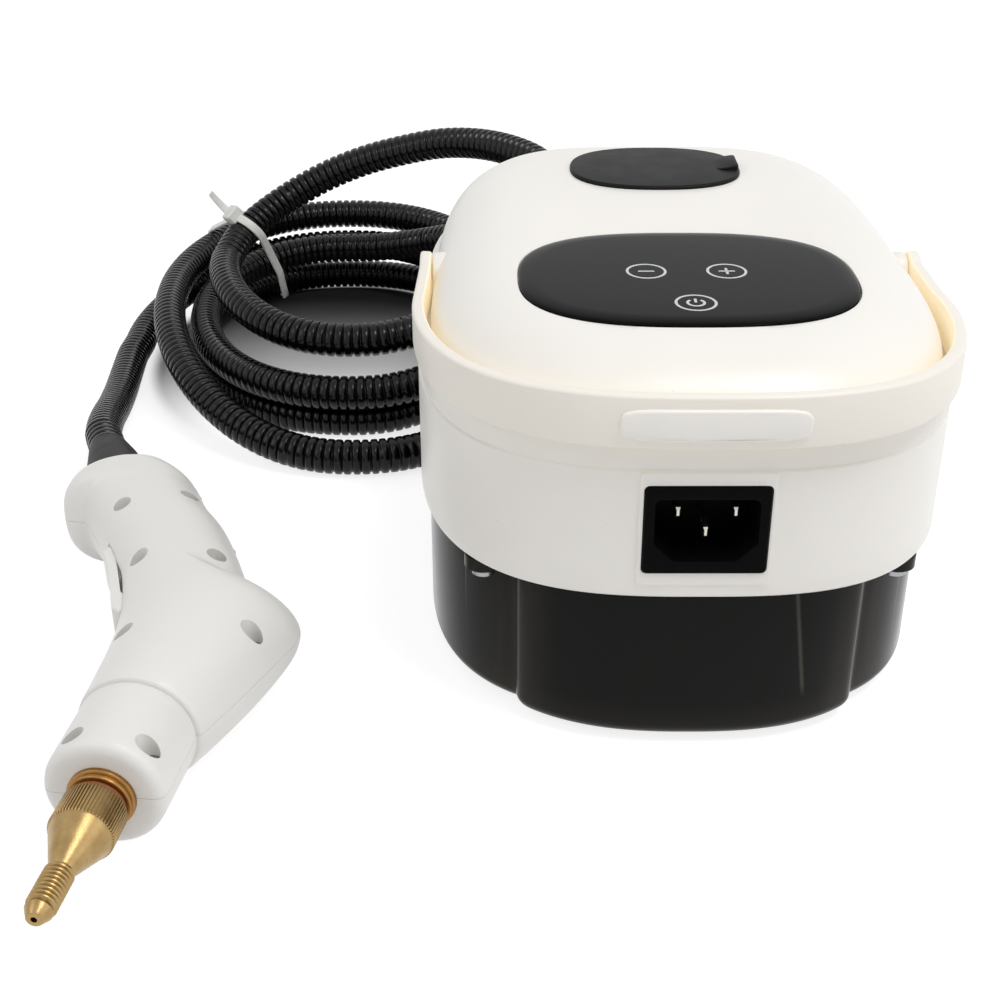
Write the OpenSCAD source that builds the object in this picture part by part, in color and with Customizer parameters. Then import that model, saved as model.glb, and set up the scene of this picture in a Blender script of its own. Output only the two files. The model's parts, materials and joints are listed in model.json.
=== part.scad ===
// Handheld steam cleaner: a water base with a carry handle, a corrugated steam hose and a steam gun.
// Millimetres. Z is up, X is right, the mains inlet faces -Y and the feet stand on Z = 0.

/* [Base outline] */
// Half width of the white housing at its widest line
house_half_w = 73.6; // [70:0.2:82]
// Reach of the housing from its widest line to the front
house_front = 95.4; // [92:0.2:104]
// Reach of the housing from its widest line to the rear
house_rear = 112; // [110:0.5:122]
// Y of the widest line
wide_y = -8; // [-10:0.5:-6]
// Squareness of the front outline, where 2 is an ellipse
front_power = 2.9; // [2.7:0.05:3.1]
// Squareness of the rear outline, where 2 is an ellipse
rear_power = 4; // [3.8:0.1:4.4]

/* [Water tank] */
// Height of the tank walls
tank_h = 47; // [40:0.5:60]
// Thickness of the clear tank walls
tank_wall = 3.5; // [2.5:0.1:4]
// Thickness of the tank floor
tank_floor = 3.5; // [2.5:0.1:5]
// How far the tank side stands in from the housing side
tank_side_in = 2.3; // [2:0.1:4]
// How far the tank corners stand in from the housing at the front
tank_front_in = 13.4; // [11:0.1:15]
// How far the tank stands in from the housing at the rear
tank_rear_in = 4; // [3:0.1:8]
// How far the front block of the tank stands in from the housing
block_front_in = 4.7; // [4:0.1:8]
// Half width of the front block of the tank
block_half_w = 46; // [40:0.5:48]
// Squareness of the tank outline
tank_power = 3; // [2.8:0.05:3.1]
// Squareness of the front block outline
block_power = 2.55; // [2.4:0.05:2.7]
// Thickness of the tank gasket
gasket_t = 1; // [0.6:0.1:2]
// Radius of a tank screw lug
lug_r = 5; // [4:0.1:5.5]
// Thickness of a tank screw lug
lug_t = 4; // [3:0.1:6]

/* [Feet] */
// Radius of a rubber foot
foot_r = 7; // [5:0.5:9]
// Height of a rubber foot below the tank
foot_drop = 2; // [1:0.1:4]
// Depth of the seat of a foot in the tank floor
foot_seat = 1; // [0.5:0.1:1.5]

/* [Housing and cover] */
// Height of the housing wall
house_h = 42.5; // [40:0.5:50]
// Height of the step line above the bottom of the housing
step_h = 35; // [33:0.5:38]
// How far the band above the step line stands in
step_in = 0.6; // [0.3:0.1:1]
// Thickness of the housing wall
house_wall = 2.2; // [1.8:0.1:2.6]
// Thickness of the chassis plate
plate_t = 3; // [2.5:0.1:4]
// Thickness of the shelf and the ledge inside the housing
ledge_t = 2; // [1.5:0.1:3]
// How far the side of the cover stands in from the housing
cover_in = 3.8; // [3.6:0.1:4.2]
// How far the front and rear of the cover stand in from the housing
cover_end_in = 2.8; // [2.6:0.1:3.4]
// Thickness of the cover wall
cover_wall = 2.4; // [2:0.1:2.8]
// Height of the upright rim of the cover
cover_rim = 2.4; // [1.5:0.1:4]
// Height of the cover above its rim, at the middle of the base
cover_rise = 18.6; // [16:0.1:24]
// Reach of the round shoulder of the cover
shoulder_r = 22.7; // [18:0.1:25]
// Slope of the top, rising to the rear
top_slope = 0.04; // [0.02:0.002:0.06]

/* [Control panel] */
// Half width of the black panel
panel_half_w = 45; // [38:0.5:46]
// Half length of the black panel
panel_half_l = 34; // [28:0.5:35]
// Y of the panel centre
panel_y = -40; // [-42:0.5:-38]
// Squareness of the panel outline
panel_power = 2.7; // [2.3:0.05:3]
// How far the panel stands above the cover
panel_proud = 1; // [0.4:0.1:1.5]
// How deep the panel sits in the cover
panel_seat = 1.2; // [0.6:0.1:1.4]

/* [Filling] */
// Half width of the rubber fill cover
fill_half_w = 27.5; // [24:0.5:30]
// Half length of the rubber fill cover
fill_half_l = 21.5; // [18:0.5:23]
// Y of the fill cover centre
fill_y = 55.8; // [54:0.2:58]
// Squareness of the fill cover outline
fill_power = 2.4; // [2.2:0.05:2.8]
// How far the fill cover stands above the cover
fill_proud = 1.2; // [0.8:0.1:2]
// How deep the fill cover sits in the cover
fill_seat = 1.2; // [0.6:0.1:1.4]
// Radius of the fill opening
neck_r = 11; // [9:0.5:13]
// Thickness of the fill neck
neck_wall = 2; // [1.5:0.1:3]
// Depth of the plug under the fill cover
plug_h = 4; // [3:0.1:4.5]

/* [Carry handle] */
// How far the handle stands out from the housing side
handle_out = 1.4; // [1.3:0.1:3]
// How far the handle stands out from the housing front
handle_front_out = 4.5; // [4:0.1:8]
// Thickness of the handle band
handle_t = 2.6; // [2.2:0.1:2.7]
// Height of the handle band
handle_h = 13.5; // [11:0.1:14]
// Gap between the handle and the ledge below it
handle_gap = 0.3; // [0.3:0.1:1]
// Squareness of the handle outline
handle_power = 2.85; // [2.7:0.05:3]
// Y of the handle pivots
pivot_y = 2; // [0:0.5:6]
// Radius of a handle pivot pin
pivot_r = 2.5; // [2:0.1:3]
// Thickness of a housing ear
ear_t = 1.8; // [1.6:0.1:1.9]
// Half width of the raised grip patch
patch_half_w = 22; // [16:0.5:28]
// Height of the raised grip patch
patch_h = 8; // [6:0.1:9]
// Thickness of the raised grip patch
patch_t = 0.4; // [0.2:0.1:0.8]

/* [Mains inlet] */
// Width of the inlet flange
inlet_w = 30.8; // [30.4:0.1:31.2]
// Height of the inlet flange
inlet_h = 24; // [23.6:0.1:24.6]
// Z of the inlet centre above the bottom of the housing
inlet_up = 19.5; // [18.5:0.1:20]
// Half width of the raised square frame round the inlet
frame_half_w = 16.5; // [16.2:0.1:20]
// How far the frame stands out from the housing front
frame_out = 0.4; // [0.3:0.1:1]
// Thickness of the inlet flange
flange_t = 3; // [2.4:0.1:3.4]
// How far the flange stands out from the frame
flange_out = 0.8; // [0.5:0.1:1.2]
// Width of the inlet cavity
cavity_w = 25; // [24.6:0.1:25.4]
// Height of the inlet cavity
cavity_h = 16.8; // [16.4:0.1:17.2]
// Depth of the inlet cavity
cavity_d = 16; // [15.5:0.1:17]
// Thickness of a contact blade
blade_t = 2; // [1.8:0.1:2.2]
// Width of a contact blade
blade_w = 4; // [3.6:0.1:4.2]

/* [Hose] */
// Outer diameter of the corrugated conduit
hose_d = 13; // [12:0.1:13.2]
// Inner diameter of the conduit
hose_bore = 9.6; // [8:0.1:10]
// Distance between two ribs
rib_pitch = 2.95; // [2.7:0.05:3.6]
// Depth of the valley between two ribs
rib_depth = 0.7; // [0.3:0.05:1]
// Outer diameter of the steam tube inside the machine
steam_d = 6; // [5:0.1:6.5]
// Inner diameter of the steam tube
steam_bore = 3.6; // [2.5:0.1:4]
// Length of the strain relief boot
boot_l = 38; // [34:0.5:42]
// Width of the cable tie
tie_w = 4.8; // [3.6:0.1:6]
// Thickness of the cable tie
tie_t = 1.2; // [0.9:0.1:1.6]

/* [Steam gun] */
// Largest half thickness of the gun
gun_half_t = 18; // [17:0.1:20]
// Thickness of the gun shells
gun_wall = 2.4; // [2:0.1:2.8]
// Radius of the front face of the barrel
barrel_r = 15; // [14:0.1:16]
// Length of the front collar
collar_l = 25; // [22:0.5:28]
// Radius of a gun screw shank
gun_screw_r = 1.4; // [1.2:0.1:1.6]
// Radius of a gun screw recess
recess_r = 2.9; // [2.8:0.1:3.2]
// Thickness of the trigger
trigger_w = 12; // [10:0.5:14]
// Radius of the trigger pin
trigger_pin_r = 1.5; // [1.2:0.1:1.8]

/* [Nozzle] */
// Radius of the knurled nut
nut_r = 8; // [7.5:0.1:9]
// Length of the knurled nut
nut_l = 10; // [8:0.5:14]
// Length of the cone
cone_l = 11; // [8:0.5:16]
// Radius of the threaded stub
stub_r = 3.6; // [3:0.1:4]
// Length of the threaded stub
stub_l = 12; // [8:0.5:16]
// Length of the tapered tip
tip_l = 3; // [2:0.1:5]
// Radius of the steam outlet
outlet_r = 0.75; // [0.5:0.05:1.2]

/* [Clearances] */
// Gap round parts that drop into one another
seat_gap = 0.3; // [0.2:0.05:0.4]
// Radial running clearance of a pin in its hole
run_gap = 0.05; // [0.02:0.01:0.1]

/* [Hidden] */
$fn = 48;
far = 400;

// Heights, from the table up
tank_z = foot_drop;
house_z = tank_z + tank_h;
plate_z = house_z + gasket_t;
deck_z = plate_z + plate_t;
step_z = house_z + step_h;
cover_z = house_z + house_h;
shoulder_z = cover_z + cover_rim;
function top_z(y) = shoulder_z + cover_rise + top_slope * y;

// Reach of the tank outline and of its front block
tank_half_w = house_half_w - tank_side_in;
tank_front = house_front - tank_front_in;
tank_rear = house_rear - tank_rear_in;
block_front = house_front - block_front_in;
function tank_edge(y, reach) =
    tank_half_w * pow(1 - pow(abs(y - wide_y) / reach, tank_power), 1 / tank_power);

// Places of screws and feet, left and right alike
lug_from_front = 10.5;
lug_from_rear = 16;
lug_front_y = wide_y - tank_front + lug_from_front;
lug_rear_y = wide_y + tank_rear - lug_from_rear;
lug_front_out = 4.9;
lug_rear_out = 6.3;
lug_places = [[tank_edge(lug_front_y, tank_front) + lug_front_out, lug_front_y],
    [tank_edge(lug_rear_y, tank_rear) + lug_rear_out, lug_rear_y]];
lug_web = 14;
lug_post_r = 4.5;
lug_post_h = 14;
foot_places = [[44, -60], [46, 66]];
foot_bevel = 1;
post_places = [[52, -58], [52, 72]];
post_r = 4;
post_seat_h = 4;
screw_r = 1.5;
screw_head_r = 3;
screw_head_h = 2.2;
screw_bite = 8;
gasket_in = 0.4;
shelf_w = 3;
ledge_in = 2;
cover_power = 3;
dome_step = 15;

// Panel and boards
panel_bevel = 0.6;
board_t = 1.6;
board_drop = 1.5;
board_z = cover_z - board_drop;
board_posts = [[28, -56], [28, -84]];
board_post_r = 3;
board_half_w = 34;
board_front = -88;
board_l = 38;
touch_half_w = 32;
touch_half_l = 18;
touch_pitch = 20;
touch_chip_r = 3;
touch_chip_h = 2;
lie_gap = 0.02;
part_in = 6;
relay = [18, 22, 12];
relay_x = -24;
filter_box = [20, 10, 9];
filter_x = 4;
cap_r = 4;
cap_h = 9;
cap_in = 26;
cap_x = [2, 12, 22];

// Fill cover
plug_gap = 1.2;
tab_l = 7;
tab_half_w = 6.5;
tab_y = 1.7;

// Carry handle
handle_z = cover_z + handle_gap;
arm_h = 8.8;
arm_end_r = 6.4;
pivot_z = handle_z + arm_end_r;
patch_z = handle_z + 2.4;
ear_x = house_half_w - cover_in + 0.4;
ear_r = 5.8;

// Mains inlet
inlet_z = house_z + inlet_up;
frame_y = house_front - wide_y + frame_out;
frame_z = house_z + 3.8;
frame_back = 3.6;
flange_y = frame_y + flange_out;
frame_root_y = flange_y - flange_t;
socket_wall = 1;
socket_back = 4.6;
cavity_cut = 4.9;
blade_places = [[-7, -4.3], [7, -4.3], [0, 1.2]];
blade_in = 1.6;
blade_tail = 4;

// Pump and water way
pump_x = 36;
pump_y = -36;
pump_rise = 20;
pump_z = deck_z + pump_rise;
pump_w = 32;
pump_l = 34;
pump_h = 30;
pump_r = 8;
pump_nose = 16;
pump_rim = 2;
spigot_l = 5;
mount_in = 4;
mount_l = 8;
tube_r = 3;
tube_bore = 1.6;
bent_sides = 12;
nipple_r = tube_bore * cos(180 / bent_sides) - run_gap;
tube_bend = 8;
suction_run = 6;
suction_y = pump_y - pump_nose - suction_run - tube_bend;
suction_gap = 3.5;
suction_low = tank_z + tank_floor + suction_gap;
filter_r = 6;
filter_h = 15;
filter_drop = 3;

// Heater
heater_x = -36;
heater_y = -44;
heater_rise = 7;
heater_z = deck_z + heater_rise;
heater_w = 44;
heater_l = 90;
heater_h = 18;
lid_t = 4;
lid_z = heater_z + heater_h + lid_t;
water_gap = 7.8;
heat_in_y = fill_y - neck_r - neck_wall - water_gap - tube_r;
bracket_t = 1.5;
bracket_w = 10;
bracket_in = 12;
lid_in = 3;
heater_screw_in = 8;
heater_rod_x = [-10, 10];
heater_rod_r = 2.2;
heater_rod_l = 8;
heater_rod_out = 6;
sensor_in = 34;
sensor_rim = [8, 2.5];
sensor_can = [6.5, 8];
sensor_tab = [0.8, 6, 5];
sensor_tab_x = 3;
fuse_in = 60;
fuse_clip = [16, 8, 1];
fuse_foot = [4, 6, 3];
fuse_z = 2.5;
fuse_can = [2.2, 12];
fuse_wire = [0.6, 20];

// Gland and hose
gland_x = -20;
gland_y = house_rear + wide_y + 0.4;
gland_rise = 17;
gland_z = house_z + gland_rise;
gland_r = 9;
gland_pad = 5;
gland_pad_r = 13;
gland_flange_r = 11;
gland_end = gland_y + 3.6;
gland_nut_t = 4;
gland_nut_r = 12;
steam_in_hose = 12;
hose_sides = 8;
coil_sides = 6;
bore_pitch = 14;
lead_route = [[gland_x, gland_end, gland_z], [gland_x, gland_end + 13, gland_z], [-20, 135, 68.5],
    [-22, 150, 74.5], [-27, 165.5, 81], [-36, 181, 85.5], [-48, 195, 87], [-61.5, 207, 86.5], [-77, 215, 84.5],
    [-94, 219, 80.5], [-111, 221, 75.5], [-127.5, 220.5, 69], [-143, 215.5, 61.5], [-155.5, 206.5, 54.5],
    [-164, 193.5, 48.5], [-167, 178, 44]];
coil_xy = [-115, 178];
coil_reach = [52, 72, 61, 62, 62, 86, 66, 96, 76, 114, 66, 94, 66, 80, 61, 86, 93];
coil_z = [44, 36, 49, 30, 22, 20, 34, 36.2, 30, 6.6, 6.6, 6.6, 8.6, 6.6, 20.4, 24.3, 6.6];
coil_power = 2.2;
coil_lean = 0.09;
tie_xy = [-171, 212];
tie_turn = -38.5;
tie_strands = [[15.4, 52.3, 7.4], [-21.1, 31.3, 7.4], [-31.8, 12.9, 7.1], [-11, 8.3, 6.8]];
tie_head = [-35, 0, 27];

// Steam gun, drawn flat: right edge, left edge, share of the half thickness, squareness of the section
gun_xy = [-143.6, -141.4];
gun_turn = 6.3;
gun_sides = 24;
gun_stations = [
    [[barrel_r, 0], [-barrel_r, 0], barrel_r / gun_half_t, 2],
    [[barrel_r + 0.3, collar_l], [-barrel_r - 0.3, collar_l], (barrel_r + 0.3) / gun_half_t, 2],
    [[16.3, collar_l + 0.3], [-16, collar_l + 0.3], 0.89, 2],
    [[20.5, 36], [-16.5, 36], 0.905, 2.05],
    [[24.2, 49], [-17.4, 49], 0.945, 2.1],
    [[28, 63], [-19.2, 62], 0.98, 2.1],
    [[29.3, 74], [-21.5, 72], 1, 2.15],
    [[27.8, 85], [-24.5, 81], 1, 2.2],
    [[21.5, 95.5], [-28, 90], 0.98, 2.25],
    [[13, 98.6], [-31.5, 96.5], 0.95, 2.3],
    [[5, 106], [-36, 104.5], 0.92, 2.4],
    [[-1, 117], [-42, 113.5], 0.91, 2.5],
    [[-7, 128], [-48, 122], 0.915, 2.6],
    [[-12.5, 138], [-54, 130], 0.93, 2.6],
    [[-15.5, 142.5], [-60, 134], 0.965, 2.6],
    [[-20, 147], [-61.5, 139.5], 0.97, 2.6],
    [[-27, 150.5], [-57, 144.5], 0.89, 2.5],
    [[-34, 151.5], [-50, 147.5], 0.67, 2.3]];
gun_screw_places = [[10, 9.5], [-10, 9.5], [22.8, 58], [-14.7, 59.4], [0.3, 105.5], [-23.2, 95], [-19.9, 137.7],
    [-39.9, 125.2]];
boss_r = 3.6;
recess_z = 4;
gun_bite = 7;
pin_xy = [-16.5, 74];
eye_r = 4;
pin_half_l = 8.5;
trigger_outline = [[-16.5, 71], [-20, 70.6], [-23.5, 71], [-25.5, 76], [-28.5, 84], [-32.5, 93], [-37.5, 102],
    [-38.5, 105], [-35.2, 105.8], [-31.7, 98.7], [-27.2, 88.7], [-23.2, 79.7], [-16.5, 77]];
window_outline = [[-60, 69.5], [-17, 69.5], [-17, 79], [-31, 107], [-60, 107]];
switch_xy = [-17.2, 84.9];
switch_turn = 24;
switch_w = 5.8;
switch_l = 12;
switch_h = 8;
button_l = 3.5;
spring_r = 2.5;
spring_half_h = 2;
spring_room = 5.6;
spring_out = 3.6;
spring_still = [-9.2, 75.2];
spring_moving = [-23.4, 84.9];
spring_from = -61;
spring_to = -1238;
spring_steps = 39;
wire_r = 0.35;
stop_xy = [-9.5, 77.2];
stop_r = 1.2;

// Boot, pipe and nozzle socket
boot_base = [-46.9, 147.8];
boot_dir = [-0.468, 0.884];
boot_r = 12;
boot_tip_r = 6.8;
boot_bore = steam_d / 2 + 0.3;
boot_spigot_r = 8;
boot_spigot_l = 8;
collar_seat_l = 6;
function along_boot_at(l) = boot_base + l * boot_dir;
function hose_end(l) = gun_at(along_boot_at(boot_l - l));
pipe_start = 18;
pipe_step = 12;
pipe_route = [[0, pipe_start, 0], [0, 50, 0], [-5, 80, 0], [-20, 105, 0], [-28, 126, 0],
    [along_boot_at(-10).x, along_boot_at(-10).y, 0],
    [along_boot_at(boot_l + steam_in_hose).x, along_boot_at(boot_l + steam_in_hose).y, 0]];
ring_r = 8.4;
ring_t = 3;
sleeve_r = 5.5;
sleeve_l = 28;
spigot_r = 3.2;
spigot_in = 12;
oring_t = 1.6;
oring_r = 6.4;
tip_in = 1.9;
knurl_r = 0.45;
tail_route = [[-208, 178, 6.6], [-208, 165, 6.6], [-206, 145, 6.6], [-203, 122, 8], [-200, 100, 11],
    [-197, 78, 15], hose_end(-13), hose_end(0)];

// Base outline: a closed curve about the widest line, with its own reach and squareness at each end
plan_sides = 72;
function plan(half_w, front, rear, nf = front_power, nr = rear_power) =
    [for (i = [0:plan_sides - 1])
        let (a = (i + 0.5) * 360 / plan_sides, c = cos(a), s = sin(a), n = s < 0 ? nf : nr)
        [half_w * sign(c) * pow(abs(c), 2 / n),
         wide_y + (s < 0 ? front : rear) * sign(s) * pow(abs(s), 2 / n)]];
function house_plan(d) = plan(house_half_w - d, house_front - d, house_rear - d);
function oval(half_w, half_l, n) =
    [for (i = [0:plan_sides - 1])
        let (a = (i + 0.5) * 360 / plan_sides, c = cos(a), s = sin(a))
        [half_w * sign(c) * pow(abs(c), 2 / n), half_l * sign(s) * pow(abs(s), 2 / n)]];

module both_sides() {
    children();
    mirror([1, 0, 0]) children();
}

module at_places(places, z) {
    for (p = places)
        both_sides() translate([p.x, p.y, z]) children();
}

// A frame that lies on the sloped top at a given Y
module on_top(y, rise = 0) {
    translate([0, y, top_z(y) + rise]) rotate([atan(top_slope), 0, 0]) children();
}

// Water tank
module tank_outline(d) {
    polygon(plan(tank_half_w - d, tank_front - d, tank_rear - d, tank_power, tank_power));
    intersection() {
        polygon(plan(tank_half_w - d, block_front - d, tank_rear - d, block_power, tank_power));
        translate([-block_half_w + d, -far + wide_y]) square([2 * (block_half_w - d), far]);
    }
}

module water_tank() {
    color([0.42, 0.47, 0.5, 0.6]) difference() {
        union() {
            translate([0, 0, tank_z]) linear_extrude(tank_h) tank_outline(0);
            at_places(lug_places, house_z - lug_t) cylinder(r = lug_r, h = lug_t);
            for (p = lug_places)
                both_sides() translate([p.x - lug_r, p.y - (p.y > 0 ? lug_web : 0), house_z - lug_t])
                    cube([2 * lug_r, lug_web, lug_t]);
        }
        translate([0, 0, tank_z + tank_floor]) linear_extrude(tank_h) tank_outline(tank_wall);
        at_places(lug_places, 0) cylinder(r = screw_r + run_gap, h = far);
        at_places(foot_places, tank_z - 1) cylinder(r = foot_r, h = 1 + foot_seat);
    }
}

module rubber_feet() {
    color([0.08, 0.08, 0.08]) at_places(foot_places, 0) {
        cylinder(r1 = foot_r - foot_bevel, r2 = foot_r, h = foot_bevel);
        translate([0, 0, foot_bevel]) cylinder(r = foot_r, h = foot_drop + foot_seat - foot_bevel);
    }
}

module tank_gasket() {
    color([0.15, 0.15, 0.16]) translate([0, 0, house_z]) linear_extrude(gasket_t) difference() {
        tank_outline(gasket_in);
        tank_outline(tank_wall - gasket_in);
    }
}

module tank_screws() {
    color([0.78, 0.79, 0.8]) at_places(lug_places, house_z - lug_t - screw_head_h) {
        cylinder(r = screw_head_r, h = screw_head_h);
        cylinder(r = screw_r, h = screw_head_h + lug_t + gasket_t + plate_t + screw_bite);
    }
}

// Chassis
module chassis_plate() {
    color([0.82, 0.82, 0.8]) difference() {
        union() {
            translate([0, 0, plate_z]) linear_extrude(plate_t) polygon(house_plan(house_wall + seat_gap));
            at_places(post_places, deck_z) cylinder(r = post_r, h = post_seat_h);
            at_places(board_posts, deck_z) cylinder(r = board_post_r, h = board_z - deck_z);
        }
        at_places(lug_places, 0) cylinder(r = screw_r + run_gap, h = far);
        at_places(post_places, 0) cylinder(r = screw_r + run_gap, h = far);
        at_places(post_places, plate_z - 1) cylinder(r = screw_head_r + seat_gap, h = 1 + screw_head_h);
        translate([0, fill_y, 0]) cylinder(r = neck_r, h = far);
        translate([pump_x, suction_y, 0]) cylinder(r = tube_r, h = far);
    }
}

// White main housing
module main_housing() {
    color([0.95, 0.95, 0.94]) difference() {
        union() {
            difference() {
                union() {
                    translate([0, 0, house_z]) linear_extrude(step_h) polygon(house_plan(0));
                    translate([0, 0, house_z]) linear_extrude(house_h) polygon(house_plan(step_in));
                    translate([-frame_half_w, -frame_y, frame_z])
                        cube([2 * frame_half_w, frame_y - frame_root_y, step_z - frame_z]);
                    translate([gland_x, gland_y - gland_pad, gland_z]) rotate([-90, 0, 0])
                        cylinder(r = gland_pad_r, h = gland_pad);
                }
                translate([0, 0, house_z - 1]) linear_extrude(1 + deck_z - house_z)
                    polygon(house_plan(house_wall));
                translate([0, 0, deck_z - 1]) linear_extrude(2 + ledge_t)
                    polygon(house_plan(house_wall + shelf_w));
                translate([0, 0, deck_z + ledge_t]) linear_extrude(cover_z - deck_z - 2 * ledge_t)
                    polygon(house_plan(house_wall));
                translate([0, 0, cover_z - ledge_t - 1]) linear_extrude(far)
                    polygon(cover_plan(cover_wall + ledge_in));
            }
            intersection() {
                translate([0, 0, deck_z]) linear_extrude(cover_z - deck_z) polygon(house_plan(house_wall / 2));
                union() {
                    at_places(lug_places, deck_z) cylinder(r = lug_post_r, h = lug_post_h);
                    translate([-frame_half_w, -frame_root_y, frame_z + 1])
                        cube([2 * frame_half_w, frame_back, step_z - frame_z - 2]);
                    translate([gland_x, gland_y - gland_pad, gland_z]) rotate([-90, 0, 0])
                        cylinder(r = gland_pad_r, h = gland_pad);
                }
            }
            both_sides() translate([ear_x, pivot_y, 0]) {
                translate([0, -ear_r, cover_z - 1]) cube([ear_t, 2 * ear_r, pivot_z - cover_z + 1]);
                translate([0, 0, pivot_z]) rotate([0, 90, 0]) cylinder(r = ear_r, h = ear_t);
            }
        }
        translate([0, -frame_y - 1, inlet_z]) rotate([-90, 0, 0])
            linear_extrude(1 + flange_t - flange_out) inlet_face(seat_gap / 2);
        translate([0, -far, inlet_z]) rotate([-90, 0, 0]) linear_extrude(far - frame_y + 10)
            inlet_body(seat_gap / 2);
        both_sides() translate([0, pivot_y, pivot_z]) rotate([0, 90, 0]) cylinder(r = pivot_r, h = far);
        at_places(lug_places, deck_z - 1) cylinder(r = screw_r, h = 1 + screw_bite);
        translate([gland_x, 0, gland_z]) rotate([-90, 0, 0]) cylinder(r = gland_r, h = far);
    }
}

// White top cover
function cover_plan(d) = plan(house_half_w - cover_in - d, house_front - cover_end_in - d,
    house_rear - cover_end_in - d, cover_power, rear_power);
function cover_ring(d, inset, rise) = [for (p = cover_plan(d + inset))
    [p.x, p.y, shoulder_z - d + rise * (cover_rise + top_slope * p.y)]];
function rim_ring(d, z) = [for (p = cover_plan(d)) [p.x, p.y, z]];

// A solid from a list of rings, each with the same number of points, closed at both ends
module skin(rings) {
    n = len(rings[0]);
    last = len(rings) - 1;
    sides = [for (k = [0:last - 1], i = [0:n - 1], half = [0, 1])
        let (j = (i + 1) % n, a = k * n + i, b = k * n + j, c = (k + 1) * n + j, d = (k + 1) * n + i)
        half == 0 ? [a, c, b] : [a, d, c]];
    ends = [[for (i = [0:n - 1]) i], [for (i = [n - 1:-1:0]) last * n + i]];
    polyhedron(points = [for (r = rings) each r], faces = concat(sides, ends), convexity = 8);
}

module dome(d, low) {
    skin(concat([rim_ring(d, low)], [for (a = [0:dome_step:90])
        cover_ring(d, (shoulder_r - d) * (1 - cos(a)), sin(a))]));
}

module top_cover() {
    color([0.96, 0.96, 0.95]) difference() {
        union() {
            difference() {
                dome(0, cover_z);
                dome(cover_wall, cover_z - 1);
            }
            intersection() {
                dome(cover_wall / 2, cover_z - 2);
                at_places(post_places, 0) cylinder(r = post_r, h = far);
            }
            at_places(post_places, deck_z + post_seat_h)
                cylinder(r = post_r, h = cover_z - deck_z - post_seat_h);
        }
        on_top(panel_y, -panel_seat - lie_gap) linear_extrude(far)
            polygon(oval(panel_half_w + seat_gap, panel_half_l + seat_gap, panel_power));
        on_top(fill_y, -fill_seat - lie_gap) linear_extrude(far)
            polygon(oval(fill_half_w + seat_gap, fill_half_l + seat_gap, fill_power));
        translate([0, fill_y, cover_z]) cylinder(r = neck_r, h = far);
        at_places(post_places, 0) cylinder(r = screw_r, h = deck_z + post_seat_h + screw_bite);
    }
}

module cover_screws() {
    color([0.78, 0.79, 0.8]) at_places(post_places, plate_z) {
        cylinder(r = screw_head_r, h = screw_head_h);
        cylinder(r = screw_r, h = plate_t + post_seat_h + screw_bite);
    }
}

// Control panel and electronics
module control_panel() {
    color([0.03, 0.03, 0.035]) on_top(panel_y, -panel_seat) {
        linear_extrude(panel_seat + panel_proud / 2) polygon(oval(panel_half_w, panel_half_l, panel_power));
        linear_extrude(panel_seat + panel_proud)
            polygon(oval(panel_half_w - panel_bevel, panel_half_l - panel_bevel, panel_power));
    }
}

module touch_board() {
    color([0.1, 0.35, 0.2]) on_top(panel_y, -cover_wall - board_t - lie_gap) {
        translate([-touch_half_w, -touch_half_l, 0]) cube([2 * touch_half_w, 2 * touch_half_l, board_t]);
        for (x = [-1, 0, 1])
            translate([x * touch_pitch, 0, -touch_chip_h]) cylinder(r = touch_chip_r, h = touch_chip_h);
    }
}

module control_board() {
    color([0.12, 0.4, 0.22]) translate([0, 0, board_z]) {
        translate([-board_half_w, board_front, 0]) cube([2 * board_half_w, board_l, board_t]);
        translate([relay_x, board_front + part_in, board_t]) cube(relay);
        translate([filter_x, board_front + part_in, board_t]) cube(filter_box);
        for (x = cap_x)
            translate([x, board_front + cap_in, board_t]) cylinder(r = cap_r, h = cap_h);
    }
}

// Filling
module fill_neck() {
    color([0.9, 0.9, 0.88]) difference() {
        translate([0, fill_y, deck_z]) cylinder(r = neck_r + neck_wall, h = top_z(fill_y) - deck_z);
        translate([0, fill_y, 0]) cylinder(r = neck_r, h = far);
        on_top(fill_y, -cover_wall) translate([-far / 2, -far / 2, 0]) cube(far);
    }
}

module fill_cover() {
    color([0.92, 0.92, 0.9]) on_top(fill_y) {
        translate([0, 0, -fill_seat]) linear_extrude(fill_seat + fill_proud)
            polygon(oval(fill_half_w, fill_half_l, fill_power));
        translate([0, 0, -fill_seat - plug_h]) cylinder(r = neck_r - plug_gap, h = plug_h + 1);
        translate([fill_half_w - tab_l, tab_y - tab_half_w, fill_proud - 0.5]) cube([tab_l - 0.6, 2 * tab_half_w, 1.5]);
    }
}

// Carry handle
function handle_plan(d) = plan(house_half_w + handle_out - d, house_front + handle_front_out - d,
    house_front + handle_front_out - d, handle_power, handle_power);
module handle_side() {
    polygon([[-far, handle_z], [pivot_y, handle_z], [pivot_y, handle_z + arm_h], [wide_y, handle_z + arm_h],
        [wide_y - house_front, handle_z + handle_h], [-far, handle_z + handle_h]]);
    translate([pivot_y, pivot_z]) circle(r = arm_end_r);
}

module carry_handle() {
    color([0.95, 0.95, 0.94]) difference() {
        union() {
            intersection() {
                linear_extrude(far) difference() {
                    polygon(handle_plan(0));
                    polygon(handle_plan(handle_t));
                }
                rotate([90, 0, 90]) linear_extrude(far, center = true) handle_side();
            }
            intersection() {
                translate([0, 0, patch_z]) linear_extrude(patch_h) difference() {
                    polygon(handle_plan(-patch_t));
                    polygon(handle_plan(handle_t / 2));
                }
                translate([-patch_half_w, -far, 0]) cube([2 * patch_half_w, far, far]);
            }
        }
        translate([-far, pivot_y, pivot_z]) rotate([0, 90, 0]) cylinder(r = pivot_r + run_gap, h = 2 * far);
    }
}

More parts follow.
